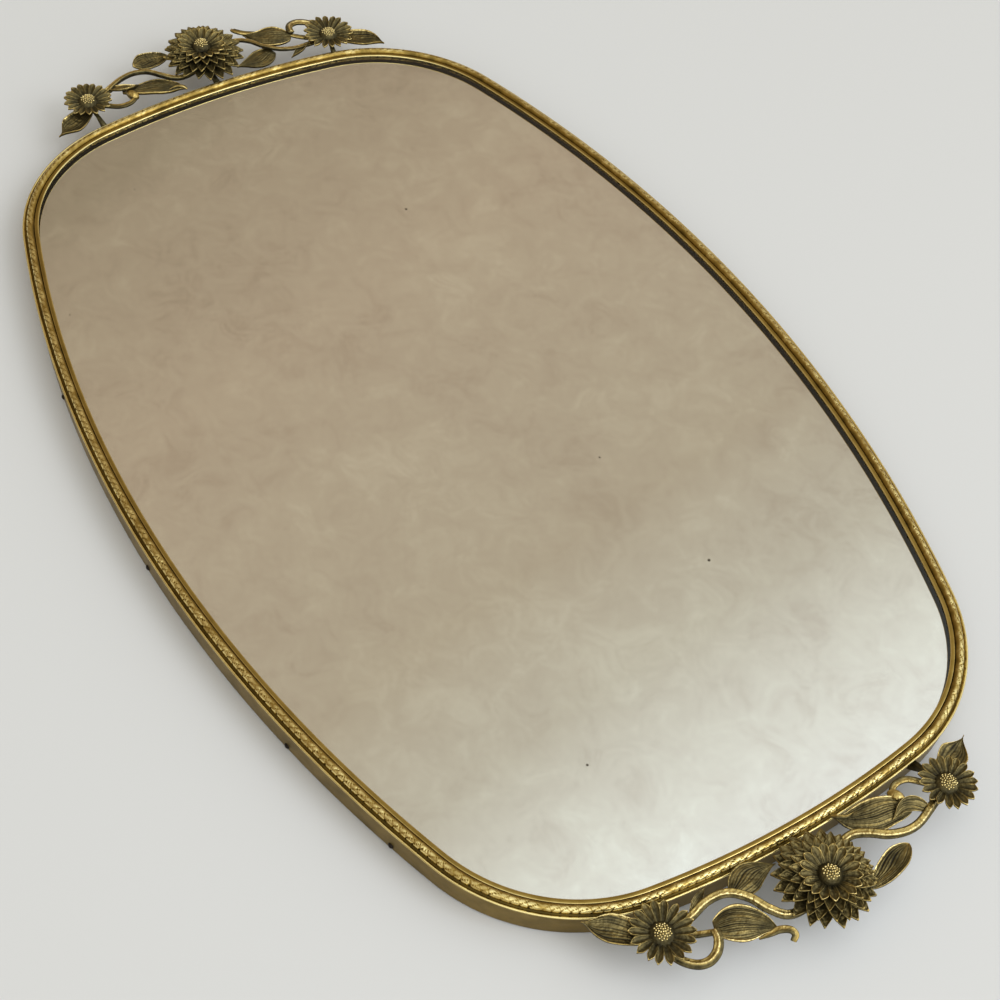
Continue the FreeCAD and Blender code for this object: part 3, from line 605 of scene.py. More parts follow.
def leafPiece(name, leaf):
    # A cast leaf along a spine, with cut veins and a raised edge that is rubbed bright.
    rows, columns = 44, 81
    spine = smoothLine([onTray(p) for p in leaf["spine"]], rows)
    left, right = leaf["halfWidths"]
    rollStart, rollEnd = leaf["roll"]
    grid = []
    for i, centre in enumerate(spine):
        t = i / (rows - 1)
        ahead = (spine[min(i + 1, rows - 1)] - spine[max(i - 1, 0)]).normalized()
        side = Vector((0, 0, 1)).cross(ahead).normalized()
        turn = Matrix.Rotation(math.radians(rollStart + (rollEnd - rollStart) * t), 3, ahead)
        side = turn @ side
        up = ahead.cross(side)
        if t < leaf["fullest"]:
            swell = math.sin(math.pi / 2 * t / leaf["fullest"]) ** 0.7
            swell = leaf["root"] + (1 - leaf["root"]) * swell
        else:
            beyond = (t - leaf["fullest"]) / (1 - leaf["fullest"])
            swell = max(0.03, (0.5 + 0.5 * math.cos(math.pi * beyond)) ** leaf["taper"])
        fade = min(1.0, 5 * t + 0.3, 5 * (1 - t))
        row = []
        for j in range(columns):
            v = 2 * j / (columns - 1) - 1
            half = (left if v > 0 else right) * swell
            edge = max(0.0, (abs(v) - leaf["edgeFrom"]) / (1 - leaf["edgeFrom"]))
            bead = math.sin(edge * math.pi * 0.72)
            inside = 1 - min(1.0, edge * 1.5)
            wander = leaf["wander"] * math.sin(6.3 * t + 2.3 * v + leaf["veins"]) * (1 - v * v)
            place = leaf["veins"] * (v + 1) / 2 + wander
            nearest = abs(place - round(place))
            weight = 0.55 + 0.45 * math.sin(4.7 * round(place) + 1.3)
            vein = math.exp(-(nearest / leaf["veinWidth"]) ** 2)
            scratch = math.exp(-((0.5 - nearest) / leaf["scratchWidth"]) ** 2)
            cut = (weight * vein + leaf["scratch"] * scratch) * fade * inside
            wave = leaf["wave"] * math.sin(9.0 * t + 3.0 * v) * (1 - v * v) * fade
            bow = leaf["cup"] * swell * v * v
            height = bow + leaf["edge"] * bead * fade - leaf["veinDepth"] * cut + wave
            streak = 0.5 + 0.5 * math.sin(8.3 * t + 5.9 * round(place - 0.5))
            face = 0.38 + 0.6 * streak * (0.5 - nearest) - 0.6 * cut
            bright = face * inside + leaf["shine"] * bead
            row.append((centre + side * (half * v) + up * height,
                        centre + side * (half * v * 0.96) + up * (bow - leaf["thickness"]),
                        min(1.0, max(bright, 0.02, (t - 0.9) * 9))))
        grid.append(row)
    return shell(name, grid)


def bandSection(width, height, ridges):
    # A flattened section whose upper side has lengthwise ridges, their tops rubbed bright. On the
    # side that lies left of the way the stem runs they carry painted light, and on its right
    # painted shade.
    count = 36
    points, wear = [], []
    for i in range(count):
        angle = 2 * math.pi * i / count
        x, y = math.cos(angle), math.sin(angle)
        upper = max(0.0, -y) ** 0.6
        ridge = 0.5 + 0.5 * math.cos(2 * math.pi * ridges * (x + 1) / 2)
        dip = 0.4 * upper * (1 - ridge)
        # painted light: full where x is below 0.05, falling off beyond it as painted shade
        paintedLitSide = 1 - 0.7 * min(1.0, max(0.0, (x - 0.05) / 0.35))
        points.append((x * width / 2, y * (height / 2) * (1 - dip), 0))
        wear.append(0.08 + upper * (0.12 + 0.8 * (0.55 + 0.45 * ridge) * paintedLitSide))
    return outlineObject("band_section", points, wear)


def stemPiece(name, stem):
    # A cast stem along a smooth line; "slim" narrows it and "tilt" turns it, in degrees.
    count = 60
    line = smoothLine([onTray(p) for p in stem["points"]], count)
    slimLine = smoothLine([(s, 0, 0) for s in stem["slim"]], count)
    tiltLine = smoothLine([(math.radians(a), 0, 0) for a in stem["tilt"]], count)
    path = outlineObject("stem_path", line, closed=False, layers={
        "slim": [p.x for p in slimLine], "tilt": [p.x for p in tiltLine]})
    section = bandSection(*stem["section"])
    piece = grow(name, path, sweep, {"Section": section, "Stations": count,
                                     "Material": castBrass})
    discard(path, section)
    return piece


def ringed(name, rings, wear):
    # A closed skin over rings of points; the first ring and the last are a single point each.
    steps = len(rings[1])
    faces, start = [], 0
    for ring, following in zip(rings, rings[1:]):
        after = start + len(ring)
        for j in range(steps):
            k = (j + 1) % steps
            corners = (start + j % len(ring), after + j % len(following),
                       after + k % len(following), start + k % len(ring))
            faces.append(list(dict.fromkeys(corners)))
        start = after
    return meshObject(name, [p for ring in rings for p in ring], faces, wear)


def lathe(name, profile, steps):
    # A turned shape from (radius, height, wear), from its top centre down and back to the axis.
    turns = [2 * math.pi * j / steps for j in range(steps)]
    rings, wear = [], []
    for radius, height, worn in profile:
        ring = [(radius * math.cos(turn), radius * math.sin(turn), height)
                for turn in (turns if radius > 0 else turns[:1])]
        rings.append(ring)
        wear += [worn] * len(ring)
    return ringed(name, rings, wear)


def moved(piece, matrix):
    piece.data.transform(matrix)
    return piece


def budPiece(name, bud):
    # A closed bud: an egg shape with two lengthwise creases.
    rows, columns = 18, 28
    base, tip = onTray(bud["base"]), onTray(bud["tip"])
    ahead = (tip - base).normalized()
    side = Vector((0, 0, 1)).cross(ahead).normalized()
    up = ahead.cross(side)
    turns = [-2 * math.pi * j / columns for j in range(columns)]
    creases = [1 - 0.22 * max(0.0, math.cos(2 * turn)) ** 8 for turn in turns]
    rings = [[base]]
    for i in range(1, rows):
        t = i / rows
        girth = bud["radius"] * math.sin(math.pi * t ** 0.85) ** 0.7
        rings.append([base + (tip - base) * t
                      + (side * math.cos(turn) + up * math.sin(turn)) * girth * crease
                      for turn, crease in zip(turns, creases)])
    worn = [0.75 if crease > 0.97 else 0.3 for crease in creases]
    return ringed(name, rings + [[tip]], [0.3] + worn * (rows - 1) + [0.9])


pads = {
    "thickness": 1.4,
    "rounding": 0.25,
    "daisyRadius": 3.4,
    "dahliaRadius": 5.5,
    "lugWidth": 1.7,
    "lugRounding": 0.2,
    "lugHeight": 5.0,  # at the wall
    "lugDrop": 1.9,  # from the lip's edge to its top
    "lugSink": 0.3,  # how far it goes into the wall
    "lugBelow": 0.7,  # from the pad's face to its outer end
    "lugSag": 1.2,
}


def flowerPlace(node):
    # The middle of the face that a flower's pad offers, from the pin that goes down through it.
    low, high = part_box(node)
    return Vector(((low[0] + high[0]) / 2, (low[1] + high[1]) / 2,
                   low[2] + pads["thickness"] * mm)) / mm


frontDaisyPlace = flowerPlace("right_front_daisy_boss")
rearDaisyPlace = flowerPlace("right_rear_daisy_boss")
dahliaPlace = flowerPlace("right_dahlia_boss")


def padPiece(name, place, radius):
    thick, off = pads["thickness"], pads["rounding"]
    profile = [(0, 0, 0.1), (radius - off, 0, 0.2), (radius, -off, 0.4),
               (radius, off - thick, 0.3), (radius - off, -thick, 0.2), (0, -thick, 0.1)]
    return moved(lathe(name, profile, 40), Matrix.Translation(place * mm))


def lugPiece(name, place):
    # The bar that carries a pad from the rim's wall, square across the wall.
    if math.atan2(abs(place.y), place.x - endCentre) < endAngle:
        centre, radius = Vector((endCentre, 0)), tray["endRadius"]
    else:
        centre, radius = Vector((corner.x, math.copysign(corner.y, place.y))), tray["cornerRadius"]
    flat = Vector((place.x, place.y))
    outward = (flat - centre).normalized()
    wall = centre + outward * (radius + moulding["wallReach"] - pads["lugSink"])
    along = Vector((-outward.y, outward.x)) * pads["lugWidth"] / 2
    reach = (flat - wall).length
    high, end = tray["lipHeight"] - pads["lugDrop"], place.z - pads["lugBelow"]
    foot = place.z - pads["thickness"]
    upper = [(0, high), (reach / 2, (high + end) / 2), (reach, end)]
    lower = [(reach, foot), (reach / 2, foot - pads["lugSag"]), (0, high - pads["lugHeight"])]
    points, faces = [], []
    for line, rounding in ((upper, pads["lugRounding"]), (lower, -pads["lugRounding"])):
        for out, height in line:
            for across in (-1, -0.75, 0.75, 1):
                base = wall + outward * out + along * across
                points.append((*base, height - (rounding if abs(across) == 1 else 0)))
    for i in range(0, len(points), 4):
        following = (i + 4) % len(points)
        faces += [(i + j, following + j, following + j + 1, i + j + 1) for j in range(3)]
    faces += [range(len(points) - 4, -1, -4), range(3, len(points), 4)]
    return meshObject(name, points, faces, [0.25] * len(points))


blade = {
    "fullest": 0.42,  # how far along it is at its full width
    "taper": 0.8,
    "root": 0.3,  # its width there, as a share of the full one
    "roll": (0, 0),  # degrees, at its root and at its tip
    "thickness": 0.7,  # mm, as are the heights and depths
    "cup": 0.9,
    "wave": 0.12,
    "edge": 0.38,
    "edgeFrom": 0.85,  # of the way out from its middle
    "veins": 6,
    "veinDepth": 0.3,
    "veinWidth": 0.15,  # as a share of the way to the next vein
    "wander": 0.3,
    "scratch": 0.4,  # a fine cut between two veins, as a share of their depth
    "scratchWidth": 0.1,
    "shine": 0.9,
}
strap = {"section": (2.9, 1.8, 2), "slim": (0, 0, 0), "tilt": (0, 0)}

frontLeaves = {
    "end_leaf": {**blade, "spine": [(197.6, -58.6, -0.4), (192.2, -65.2, 0.3), (188.0, -70.2, 0.7),
        (184.3, -73.5, 0.9)], "halfWidths": (4.7, 4.7), "veins": 5, "veinDepth": 0.15, "cup": 1.0,
        "root": 0.5},
    "long_leaf": {**blade, "spine": [(205.2, -41.0, 1.1), (207.8, -34.5, 2.2), (211.0, -28.4, 1.2),
        (215.4, -24.0, 0.2)], "halfWidths": (6.2, 5.8), "veins": 9, "veinDepth": 0.35, "cup": -0.9,
        "taper": 0.6, "fullest": 0.38},
    "leaflet": {**blade, "spine": [(198.6, -44.4, 0.0), (195.6, -39.8, 0.6), (193.3, -35.0, 0.7)],
        "halfWidths": (1.4, 1.4), "veins": 2, "veinDepth": 0.1, "cup": 0.5, "wave": 0},
    "side_leaf": {**blade, "spine": [(199.8, -29.4, 1.6), (197.4, -22.0, 1.6), (197.8, -12.6, 0.8)],
        "halfWidths": (4.9, 4.9), "veinDepth": 0.18, "cup": -0.5, "root": 0.45,
        "taper": 0.7, "shine": 0.5},
    "outer_leaf": {**blade, "spine": [(218.2, 8.6, -0.9), (217.1, 13.6, 0.2), (215.5, 19.4, 1.7),
        (213.6, 25.6, 3.4)], "halfWidths": (4.0, 4.0), "veins": 5, "cup": 0.6, "roll": (-10, -18),
        "taper": 0.3, "root": 0.1, "fullest": 0.68, "shine": 0.95},
}
frontStems = {
    "ribbon": {**strap, "points": [(199.6, -53.0, -1.0), (198.8, -44.6, -0.4), (197.5, -38.0, 1.1),
        (198.6, -31.8, 2.2), (203.0, -26.9, 2.3), (208.8, -23.6, 1.7), (213.2, -18.4, 0.5),
        (213.2, -7.0, -0.9)], "tilt": (0, 25, 35, 25, 0)},
    "curl": {**strap, "points": [(200.0, -56.6, -0.6), (206.8, -55.2, -0.8), (211.2, -52.0, -0.5),
        (212.8, -48.2, 0.0), (211.8, -44.6, 0.8), (209.0, -42.2, 1.8), (206.0, -41.6, 1.9)],
        "section": (3.1, 2.0, 2), "slim": (0.1, 0, 0, 0.1)},
    "tip_curl": {**strap, "points": [(214.4, -31.0, -0.3), (215.0, -27.6, 0.2), (215.4, -24.6, 0.8),
        (217.0, -22.1, 1.3), (218.9, -21.4, 0.9), (220.0, -22.7, -0.4)], "section": (2.4, 1.6, 1),
        "slim": (0.7, 0.3, 0, 0, 0.05, 0.25)},
    "link": {**strap, "points": [(200.4, -53.6, -1.1), (203.6, -46.8, -0.9), (206.8, -40.4, 0.6)],
        "section": (2.3, 1.7, 1), "slim": (0, 0.1)},
    "spur": {**strap, "points": [(213.8, 1.2, -1.2), (216.4, 6.0, -1.4), (217.9, 10.8, -0.6)],
        "section": (1.9, 1.5, 1), "slim": (0, 0.2)},
}
rearLeaves = {
    "long_leaf": {**blade, "spine": [(203.8, 35.2, 1.6), (201.6, 28.0, 2.4), (200.2, 21.6, 2.4),
        (197.6, 15.6, 1.5), (194.2, 11.8, 1.5)], "halfWidths": (5.4, 5.4), "veins": 8, "cup": -0.8,
        "roll": (-25, 5), "fullest": 0.45, "taper": 0.7},
    "fold": {**blade, "spine": [(207.0, 39.2, 1.8), (203.9, 35.8, 3.0), (203.0, 31.8, 3.0),
        (204.4, 27.4, 1.6)], "halfWidths": (2.3, 2.5), "veins": 3, "cup": 0.5, "roll": (-10, -30),
        "taper": 0.6, "root": 0.4, "wave": 0},
    "end_leaf": {**blade, "spine": [(200.8, 51.4, 0.2), (196.6, 58.2, -0.3), (194.4, 63.0, -0.4),
        (192.0, 67.4, 0.2)], "halfWidths": (4.7, 4.7), "veins": 4, "veinDepth": 0.15, "cup": 1.0,
        "root": 0.5, "taper": 1.1},
}
rearStems = {
    "ribbon": {**strap, "points": [(205.4, 1.6, -1.0), (202.6, 8.4, 0.0), (202.0, 13.2, 1.3),
        (204.6, 17.8, 2.5), (208.0, 22.0, 3.2), (209.8, 27.4, 3.1), (209.6, 33.0, 2.4),
        (207.4, 39.4, 1.6), (204.2, 47.0, 0.4)], "section": (3.0, 2.2, 2),
        "tilt": (0, 30, 40, 40, 10)},
    "curl": {**strap, "points": [(202.0, 48.0, 0.4), (198.6, 43.8, 1.2), (195.8, 40.2, 1.7),
        (195.2, 36.4, 2.0), (196.4, 33.4, 2.1), (198.0, 32.4, 2.0)], "section": (2.3, 1.7, 1),
        "slim": (0, 0, 0.05, 0.3)},
    "tip_roll": {**strap, "points": [(193.9, 11.6, 1.2), (195.4, 13.0, 2.1), (196.6, 15.4, 2.0),
        (196.4, 18.4, 1.6)], "section": (1.4, 1.1, 1), "slim": (0.3, 0, 0.3, 0.8)},
    "link": {**strap, "points": [(203.6, 47.2, 0.2), (205.8, 42.8, 0.8), (206.4, 38.8, 1.4)],
        "section": (2.2, 1.6, 1), "slim": (0, 0.1)},
}
budShape = {"base": (196.2, 31.5, 2.2), "tip": (201.8, 34.6, 2.6), "radius": 1.9}


def branchPiece(name, leaves, stems, others):
    pieces = [leafPiece(label, leaf) for label, leaf in leaves.items()]
    pieces += [stemPiece(label, stem) for label, stem in stems.items()]
    return joinMeshes(name, pieces + others)


frontCasting = branchPiece("front_branch", frontLeaves, frontStems, [
    padPiece("pad", frontDaisyPlace, pads["daisyRadius"]),
    padPiece("pad", dahliaPlace, pads["dahliaRadius"]),
    lugPiece("lug", frontDaisyPlace), lugPiece("lug", dahliaPlace)])
rearCasting = branchPiece("rear_branch", rearLeaves, rearStems, [
    budPiece("bud", budShape), padPiece("pad", rearDaisyPlace, pads["daisyRadius"]),
    lugPiece("lug", rearDaisyPlace)])
print("castings done")


# flowers

def petalPiece(name, petal):
    # One cupped petal along +X from its root at X = 0, with a raised bright edge.
    rows, columns = 15, 13
    grid = []
    for i in range(rows):
        t = i / (rows - 1)
        swell = petal["root"] + (1 - petal["root"]) * math.sin(math.pi / 2 * min(1, t / 0.6))
        beyond = max(0.0, (t - petal["taperFrom"]) / (1 - petal["taperFrom"]))
        half = max(0.05, swell * (1 - beyond ** 1.7)) * petal["width"] / 2
        arch = petal["arch"] * math.sin(math.pi * t)
        arch += petal["flick"] * max(0.0, (t - 0.7) / 0.3) ** 2
        tip = max(0.0, (t - petal["tipFrom"]) / (1 - petal["tipFrom"]))
        row = []
        for j in range(columns):
            v = 2 * j / (columns - 1) - 1
            edge = max(0.0, (abs(v) - 0.5) / 0.5, tip)
            cup = petal["cup"] * v * v * min(1.0, 0.3 + t) * min(1.0, 2.5 * half / petal["width"])
            lip = petal["edge"] * math.sin(math.pi * 0.6 * edge)
            crease = max(0.0, 1 - abs(v) * 4)
            keel = petal["keel"] * crease * math.sin(math.pi * t)
            shade = petal["faceWear"] * (0.35 + 0.65 * t) - 0.15 * crease
            glint = petal["glint"] * (0.25 + 0.75 * t) * edge ** 2
            row.append(((petal["length"] * t, half * v, arch + cup + lip - keel),
                        (petal["length"] * t * 0.99, half * v * 0.93,
                         arch + cup * 0.8 - petal["thickness"]),
                        min(1.0, max(0.02, shade * (1 - edge) + glint))))
        grid.append(row)
    return shell(name, grid)


def petalTree():
    # petals set round a hub, each raised and turned a little by chance
    tree, given = geometryTree("Ring of petals", {
        "Petal": "Object", "Count": "Int", "Root Radius": "Float", "Rise": "Float",
        "Chance": "Float", "Seed": "Int"})
    ring = addNode(tree, "GeometryNodeMeshCircle",
                   {"Vertices": given["Count"], "Radius": given["Root Radius"]})
    index = tree.nodes.new("GeometryNodeInputIndex")
    low = addNode(tree, "ShaderNodeMath", {0: given["Chance"], 1: -1.0}, operation="MULTIPLY")
    sway, lift = [addNode(tree, "FunctionNodeRandomValue",
                          {2: low, 3: given["Chance"], **own}, data_type="FLOAT").outputs[1]
                  for own in ({"Seed": given["Seed"]}, {"ID": index})]
    step = addNode(tree, "ShaderNodeMath", {0: 2 * math.pi, 1: given["Count"]},
                   operation="DIVIDE")
    angle = addNode(tree, "ShaderNodeMath", {0: index, 1: step}, operation="MULTIPLY")
    turned = addNode(tree, "ShaderNodeMath", {0: angle, 1: sway}, operation="ADD")
    raised = addNode(tree, "ShaderNodeMath", {0: lift, 1: 1.2, 2: given["Rise"]},
                     operation="MULTIPLY_ADD")
    down = addNode(tree, "ShaderNodeMath", {0: raised, 1: -1.0}, operation="MULTIPLY")
    facing = addNode(tree, "ShaderNodeCombineXYZ", {"Y": down, "Z": turned})
    return closeTree(tree, given, copiesOnHost(tree, given, "Petal",
                                               {"Points": ring, "Rotation": facing}))


def beadTree():
    # small beads in a sunflower spiral over the top of a dome
    tree, given = geometryTree("Beads on a dome", {
        "Bead": "Object", "Count": "Int", "Spread": "Float", "Ball Radius": "Float",
        "Ball Centre": "Float"})
    dots = addNode(tree, "GeometryNodePoints", {"Count": given["Count"]})
    index = tree.nodes.new("GeometryNodeInputIndex")
    middle = addNode(tree, "ShaderNodeMath", {0: index, 1: 0.5}, operation="ADD")
    share = addNode(tree, "ShaderNodeMath", {0: middle, 1: given["Count"]}, operation="DIVIDE")
    root = addNode(tree, "ShaderNodeMath", {0: share}, operation="SQRT")
    reach = addNode(tree, "ShaderNodeMath", {0: root, 1: given["Spread"]}, operation="MULTIPLY")
    golden = math.pi * (3 - math.sqrt(5))
    angle = addNode(tree, "ShaderNodeMath", {0: index, 1: golden}, operation="MULTIPLY")
    ways = [addNode(tree, "ShaderNodeMath", {0: angle}, operation=way)
            for way in ("COSINE", "SINE")]
    x, y, reachSquare, ballSquare = [
        addNode(tree, "ShaderNodeMath", {0: one, 1: other}, operation="MULTIPLY")
        for one, other in ((ways[0], reach), (ways[1], reach), (reach, reach),
                           (given["Ball Radius"], given["Ball Radius"]))]
    rest = addNode(tree, "ShaderNodeMath", {0: ballSquare, 1: reachSquare}, operation="SUBTRACT")
    height = addNode(tree, "ShaderNodeMath", {0: rest}, operation="SQRT")
    z = addNode(tree, "ShaderNodeMath", {0: height, 1: given["Ball Centre"]}, operation="ADD")
    place = addNode(tree, "ShaderNodeCombineXYZ", {"X": x, "Y": y, "Z": z})
    placed = addNode(tree, "GeometryNodeSetPosition", {"Geometry": dots, "Position": place})
    return closeTree(tree, given, copiesOnHost(tree, given, "Bead", {"Points": placed}))


petalRing = petalTree()
beadSpiral = beadTree()

strapPetal = {
    "width": 2.5,  # mm, as are the other heights
    "thickness": 0.5,
    "root": 0.6,  # its width there, as a share of the full one
    "taperFrom": 0.74,  # of the way along
    "tipFrom": 0.84,
    "arch": 0.3,
    "cup": 0.5,
    "edge": 0.28,
    "keel": 0.2,
    "flick": 0.25,  # the rise of its tip
    "faceWear": 0.45,
    "glint": 1.0,  # how bright its edge is rubbed
}
scalePetal = {**strapPetal, "width": 4.8, "root": 0.5, "cup": 0.9, "keel": 0.12, "taperFrom": 0.6,
              "faceWear": 0.6, "arch": 0.6, "glint": 0.72}
daisyRing = {
    "petal": strapPetal,
    "count": 18,
    "hub": 4.4,  # the radius of the disc that carries the petals
    "thick": 1.0,
    "rise": 8,  # degrees above level
    "chance": 0.06,  # how far a petal strays from its place, in radians
}
whorl = {"petal": scalePetal, "count": 20, "thick": 1.3, "chance": 0.08}
flowerRings = {  # "tip" is the radius at the petals' ends, and "lean" a shift along X and Y
    "front_daisy": {**daisyRing, "tip": 10.4, "seed": 3},
    "rear_daisy": {**daisyRing, "tip": 9.5, "seed": 8},
    "dahlia_outer": {**whorl, "hub": 6.6, "tip": 16.2, "rise": 3, "seed": 11, "lean": (-1.0, -0.6)},
    "dahlia_middle": {**whorl, "petal": {**scalePetal, "width": 4.4}, "hub": 5.9, "tip": 14.9,
                      "rise": 9, "seed": 12, "lean": (-0.6, -0.4)},
    "dahlia_inner": {**whorl, "petal": {**scalePetal, "width": 3.9}, "hub": 5.2, "tip": 12.6,
                     "rise": 15, "seed": 13, "lean": (-0.3, -0.2)},
    "dahlia_crown": {**whorl, "petal": {**strapPetal, "width": 3.0, "faceWear": 0.5}, "hub": 4.5,
                     "tip": 10.0, "count": 17, "rise": 17, "seed": 14, "chance": 0.05,
                     "lean": (0, 0)},
}


def petalsPiece(name, ring):
    edge, thick = ring["hub"], ring["thick"]
    root = edge * 0.75
    length = (ring["tip"] - root) / math.cos(math.radians(ring["rise"]))
    petal = moved(petalPiece("petal", {**ring["petal"], "length": length}),
                  Matrix.Translation((0, 0, thick * 0.6 * mm)))
    hub = lathe("hub", [(0, thick * 0.9, 0.2), (root, thick * 0.9, 0.2),
                        (edge, thick * 0.75, 0.2), (edge + 0.3, thick * 0.4, 0.2),
                        (edge, 0.05, 0.15), (0, 0.05, 0.1)], 48)
    piece = grow(name, hub, petalRing, {
        "Petal": petal, "Count": ring["count"], "Root Radius": root * mm,
        "Rise": math.radians(ring["rise"]), "Chance": ring["chance"], "Seed": ring["seed"],
        "Material": castBrass})
    discard(petal, hub)
    return piece


bosses = {  # "spread" is the reach of the "count" beads, whose radius is "bead"
    "daisy": {"radius": 4.3, "height": 1.9, "shoulder": -0.6, "spread": 2.75, "count": 40,
              "bead": 0.32},
    "dahlia": {"radius": 3.8, "height": 2.95, "shoulder": 0.2, "spread": 2.6, "count": 34,
               "bead": 0.34},
}


def bossPiece(name, boss):
    # A dome with its beads; the beads are balls of a few dozen faces.
    radius, small, low = boss["radius"], boss["bead"], boss["shoulder"]
    top = boss["height"] - small * 0.6
    ball = (radius ** 2 + (top - low) ** 2) / (2 * (top - low))
    profile = [(0, top, 0.3)]
    for i in range(1, 15):
        r = radius * math.sin(math.pi / 2 * i / 14)
        h = math.sqrt(ball ** 2 - r ** 2) + top - ball
        profile.append((r, h, 0.3 - 0.2 * min(1.0, max(0.0, (r / radius - 0.6) / 0.4))))
    profile += [(radius, low - 0.3, 0.1), (0, low - 0.3, 0.1)]
    dome = lathe("dome", profile, 48)
    belts = [(small * math.sin(math.pi * i / 5), small * math.cos(math.pi * i / 5), 1.0)
             for i in range(1, 5)]
    bead = lathe("bead", [(0, small, 1.0), *belts, (0, -small, 1.0)], 8)
    piece = grow(name, dome, beadSpiral, {
        "Bead": bead, "Count": boss["count"], "Spread": boss["spread"] * mm,
        "Ball Radius": ball * mm, "Ball Centre": (top - ball) * mm, "Material": castBrass})
    discard(dome, bead)
    return piece


def flowerParts():
    # every part of the right handle's flowers, with the node that it stands for
    parts = {}
    for flower, place in (("front_daisy", frontDaisyPlace), ("rear_daisy", rearDaisyPlace)):
        ring = flowerRings[flower]
        seat = Matrix.Translation(place * mm)
        parts[f"{flower}_petals"] = moved(petalsPiece(flower, ring), seat)
        lift = Matrix.Translation((0, 0, ring["thick"] * mm))
        parts[f"{flower}_boss"] = moved(bossPiece(flower, bosses["daisy"]), seat @ lift)
    seat = Matrix.Translation(dahliaPlace * mm)
    height = 0.0
    for layer, level in enumerate(("outer", "middle", "inner", "crown")):
        ring = flowerRings[f"dahlia_{level}"]
        turn = Matrix.Rotation(math.pi / ring["count"] * (layer % 2), 4, "Z")
        aside, back = ring["lean"]  # the lower whorls spread a little towards the tray
        lift = Matrix.Translation(Vector((aside, back, height)) * mm)
        parts[f"dahlia_{level}_petals"] = moved(petalsPiece(level, ring), seat @ lift @ turn)
        height += ring["thick"]
    lift = Matrix.Translation((0, 0, height * mm))
    parts["dahlia_boss"] = moved(bossPiece("dahlia", bosses["dahlia"]), seat @ lift)
    return parts


rightParts = {"front_branch": frontCasting, "rear_branch": rearCasting, **flowerParts()}
print("flowers done")

opposite = {"front": "rear", "rear": "front", "dahlia": "dahlia"}
halfTurn = Matrix.Rotation(math.pi, 4, "Z")
for partName, part in rightParts.items():
    first = partName.split("_")[0]
    twinName = partName.replace(first, opposite[first], 1)
    twin = newObject(f"left_{twinName}_cast", part.data.copy())
    moved(twin, halfTurn)
    part.name = f"right_{partName}_cast"
    for piece, node in ((part, f"right_{partName}"), (twin, f"left_{twinName}")):
        piece.data.materials.clear()
        piece.data.materials.append(castBrass)
        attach(piece, "root")
        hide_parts(node)
print("both handles dressed")


# the mirror and what lies under it

pane = {"edge": 0.35, "clear": 0.02}  # mm: the ground edge, and the gap to the silvering


def offsetOval(reach, spacing):
    # The oval moved outwards by reach: each point of the lip's edge along its own normal.
    points = [Vector(p[:2]) for p in ovalPath(spacing)]
    shifted = []
    for i, point in enumerate(points):
        ahead = points[(i + 1) % len(points)] - points[i - 1]
        outward = Vector((ahead.y, -ahead.x)).normalized()
        shifted.append(point + outward * reach)
    return [(p.x, p.y) for p in shifted]


def paneObject():
    # The glass: the oval's own outline, with a ground edge, just clear of the silvering.
    low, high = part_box("mirror_glass")
    reach = high[0] / mm - halfLength
    bottom, top, edge = low[2] / mm + pane["clear"], high[2] / mm, pane["edge"]
    points = []
    for inset, height in ((edge, top), (0, top - edge), (0, bottom + edge), (edge, bottom)):
        points += [(x, y, height) for x, y in offsetOval(reach - inset, 1.6)]
    count = len(points) // 4
    faces = [range(count), range(len(points) - 1, 3 * count - 1, -1)]
    for i in range(3 * count):
        k = i + 1 if (i + 1) % count else i + 1 - count
        faces.append((k, i, i + count, k + count))
    piece = meshObject("mirror_pane", points, faces)
    piece.data.shade_flat()
    return piece


mirrorPane = paneObject()
mirrorPane.data.materials.append(glassMaterial())

for piece, node, slot in ((rimMoulding, "rim_frame", "gilt_rim"),
                          (chasedBead, "rim_frame", "gilt_rim"),
                          (mirrorPane, "mirror_glass", "glass")):
    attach(piece, "root")
    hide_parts(node)

hidden = {
    "mirror_silvering": silverMaterial(),
    # grey fibres with no shine
    "cushion_sheet": plainMaterial("Greyboard", ("#8d7d63", "#a5957a"), 1.5, 0.9, 0.3),
    # pale wood with its grain along the tray
    "backing_board": plainMaterial("Birch plywood", ("#a5814f", "#c9a774"), 2.0, 0.6, 0.2,
                                   stretch=(0.15, 1, 1)),
    # matted fibres, soft and dull
    "felt_pad": plainMaterial("Wool felt, pressed", ("#26402f", "#35553f"), 0.6, 0.95, 0.8),
    # near black, with a low oily shine
    "wall_tacks": plainMaterial("Steel tacks, blued black", ("#16120e", "#2b2119"), 0.4, 0.45,
                                0.4, metallic=0.7),
}
for node, material in hidden.items():
    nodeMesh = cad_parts[node].data
    nodeMesh.materials.clear()
    nodeMesh.materials.append(material)
print("mirror and backing dressed")


# stage, light and camera

stage = {
    "floorColour": "#dadbda",
    "floorSize": 40.0,  # m
    "windowSide": (0.72, 0.26, 0.64),  # the way to the bright side of the room
    "sky": [(0.0, "#93856f"), (0.02, "#9e8f79"), (0.12, "#ac9c86"), (0.29, "#aea28e"),
            (0.36, "#bcb6a7"), (0.43, "#dedfd8"), (0.5, "#edf0f1"), (1.0, "#f2f5f6")],
    "skyStrength": 1.25,
}


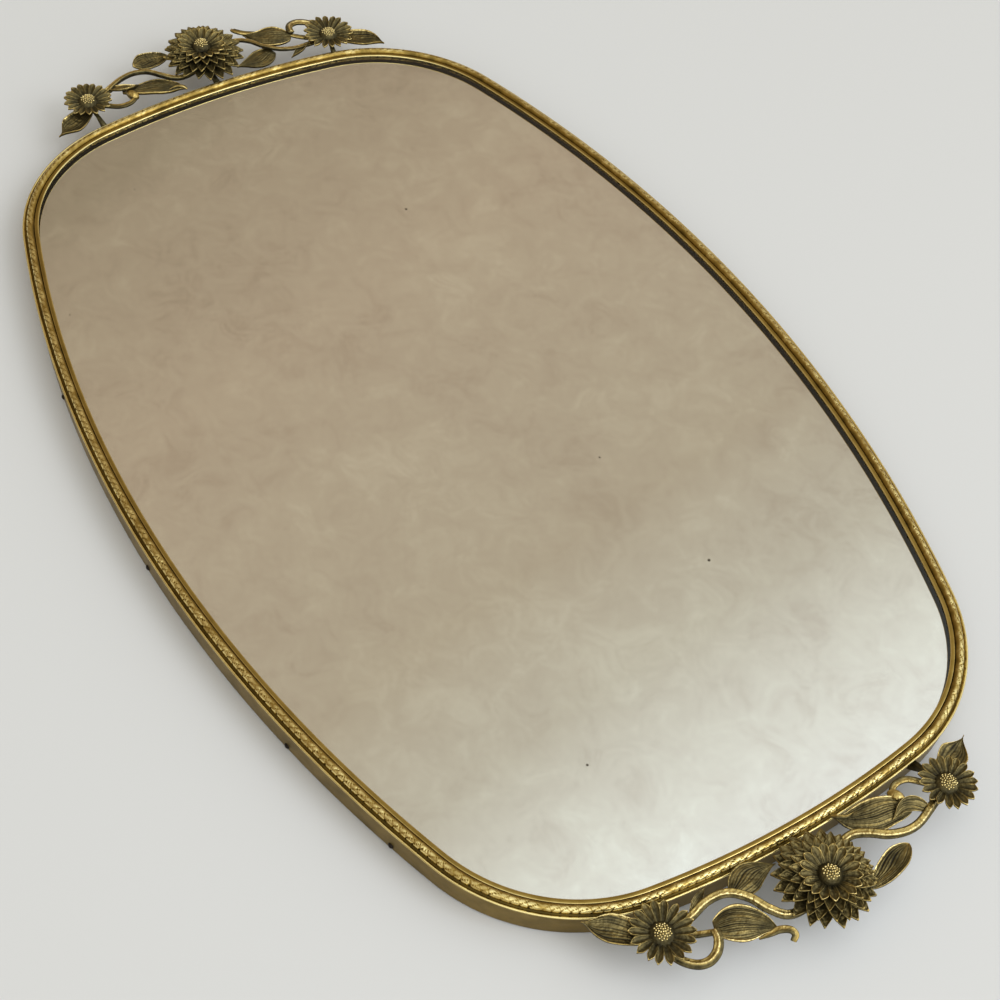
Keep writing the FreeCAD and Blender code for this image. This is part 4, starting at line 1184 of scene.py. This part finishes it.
def makeFloor():
    half = stage["floorSize"] / 2 / mm
    corners = [(-half, -half, 0), (half, -half, 0), (half, half, 0), (-half, half, 0)]
    floor = meshObject("floor", corners, [(0, 1, 2, 3)])
    material, _, shader = newMaterial("Pale matt floor")
    fill(shader, {"Base Color": toLinear(stage["floorColour"]), "Roughness": 0.95})
    floor.data.materials.append(material)


def makeSky():
    world = bpy.data.worlds.new("Pale room")
    bpy.context.scene.world = world
    world.use_nodes = True
    tree = world.node_tree
    tree.nodes.clear()
    ways = tree.nodes.new("ShaderNodeTexCoord").outputs["Generated"]
    facing = addNode(tree, "ShaderNodeVectorMath", {0: ways, 1: stage["windowSide"]},
                     operation="DOT_PRODUCT").outputs["Value"]
    colour = addNode(tree, "ShaderNodeValToRGB", {"Fac": facing}, stage["sky"])
    light = addNode(tree, "ShaderNodeBackground",
                    {"Color": colour, "Strength": stage["skyStrength"]})
    addNode(tree, "ShaderNodeOutputWorld", {"Surface": light})


lamps = {
    "window": {"place": (1.1, 0.6, 1.2), "size": 0.9, "power": 7.0, "colour": "#f6f9ff"},
    "fill": {"place": (1.2, -1.0, 1.1), "size": 1.2, "power": 3.0, "colour": "#f4f8ff"},
}


def makeLamps():
    for name, lamp in lamps.items():
        light = bpy.data.lights.new(name, "AREA")
        light.size = lamp["size"]
        light.energy = lamp["power"]
        light.color = toLinear(lamp["colour"])[:3]
        holder = newObject(name, light)
        holder.location = lamp["place"]
        holder.rotation_euler = (-Vector(lamp["place"])).to_track_quat("-Z", "Y").to_euler()


view = {
    "place": (350.1, -251.7, 509.7),  # mm
    "turn": (37.915, -4.515, 57.858),  # degrees
    "lens": 67.25,
}


def makeCamera():
    camera = bpy.data.cameras.new("photo_view")
    camera.lens = view["lens"]
    camera.sensor_width = 36.0  # mm, as is the lens
    camera.clip_start = 0.01
    holder = newObject("photo_view", camera)
    holder.location = Vector(view["place"]) * mm
    holder.rotation_euler = [math.radians(a) for a in view["turn"]]
    bpy.context.scene.camera = holder


makeFloor()
makeSky()
makeLamps()
makeCamera()
bpy.context.scene.view_settings.view_transform = "Standard"
bpy.context.view_layer.update()
print("stage, light and camera ready")
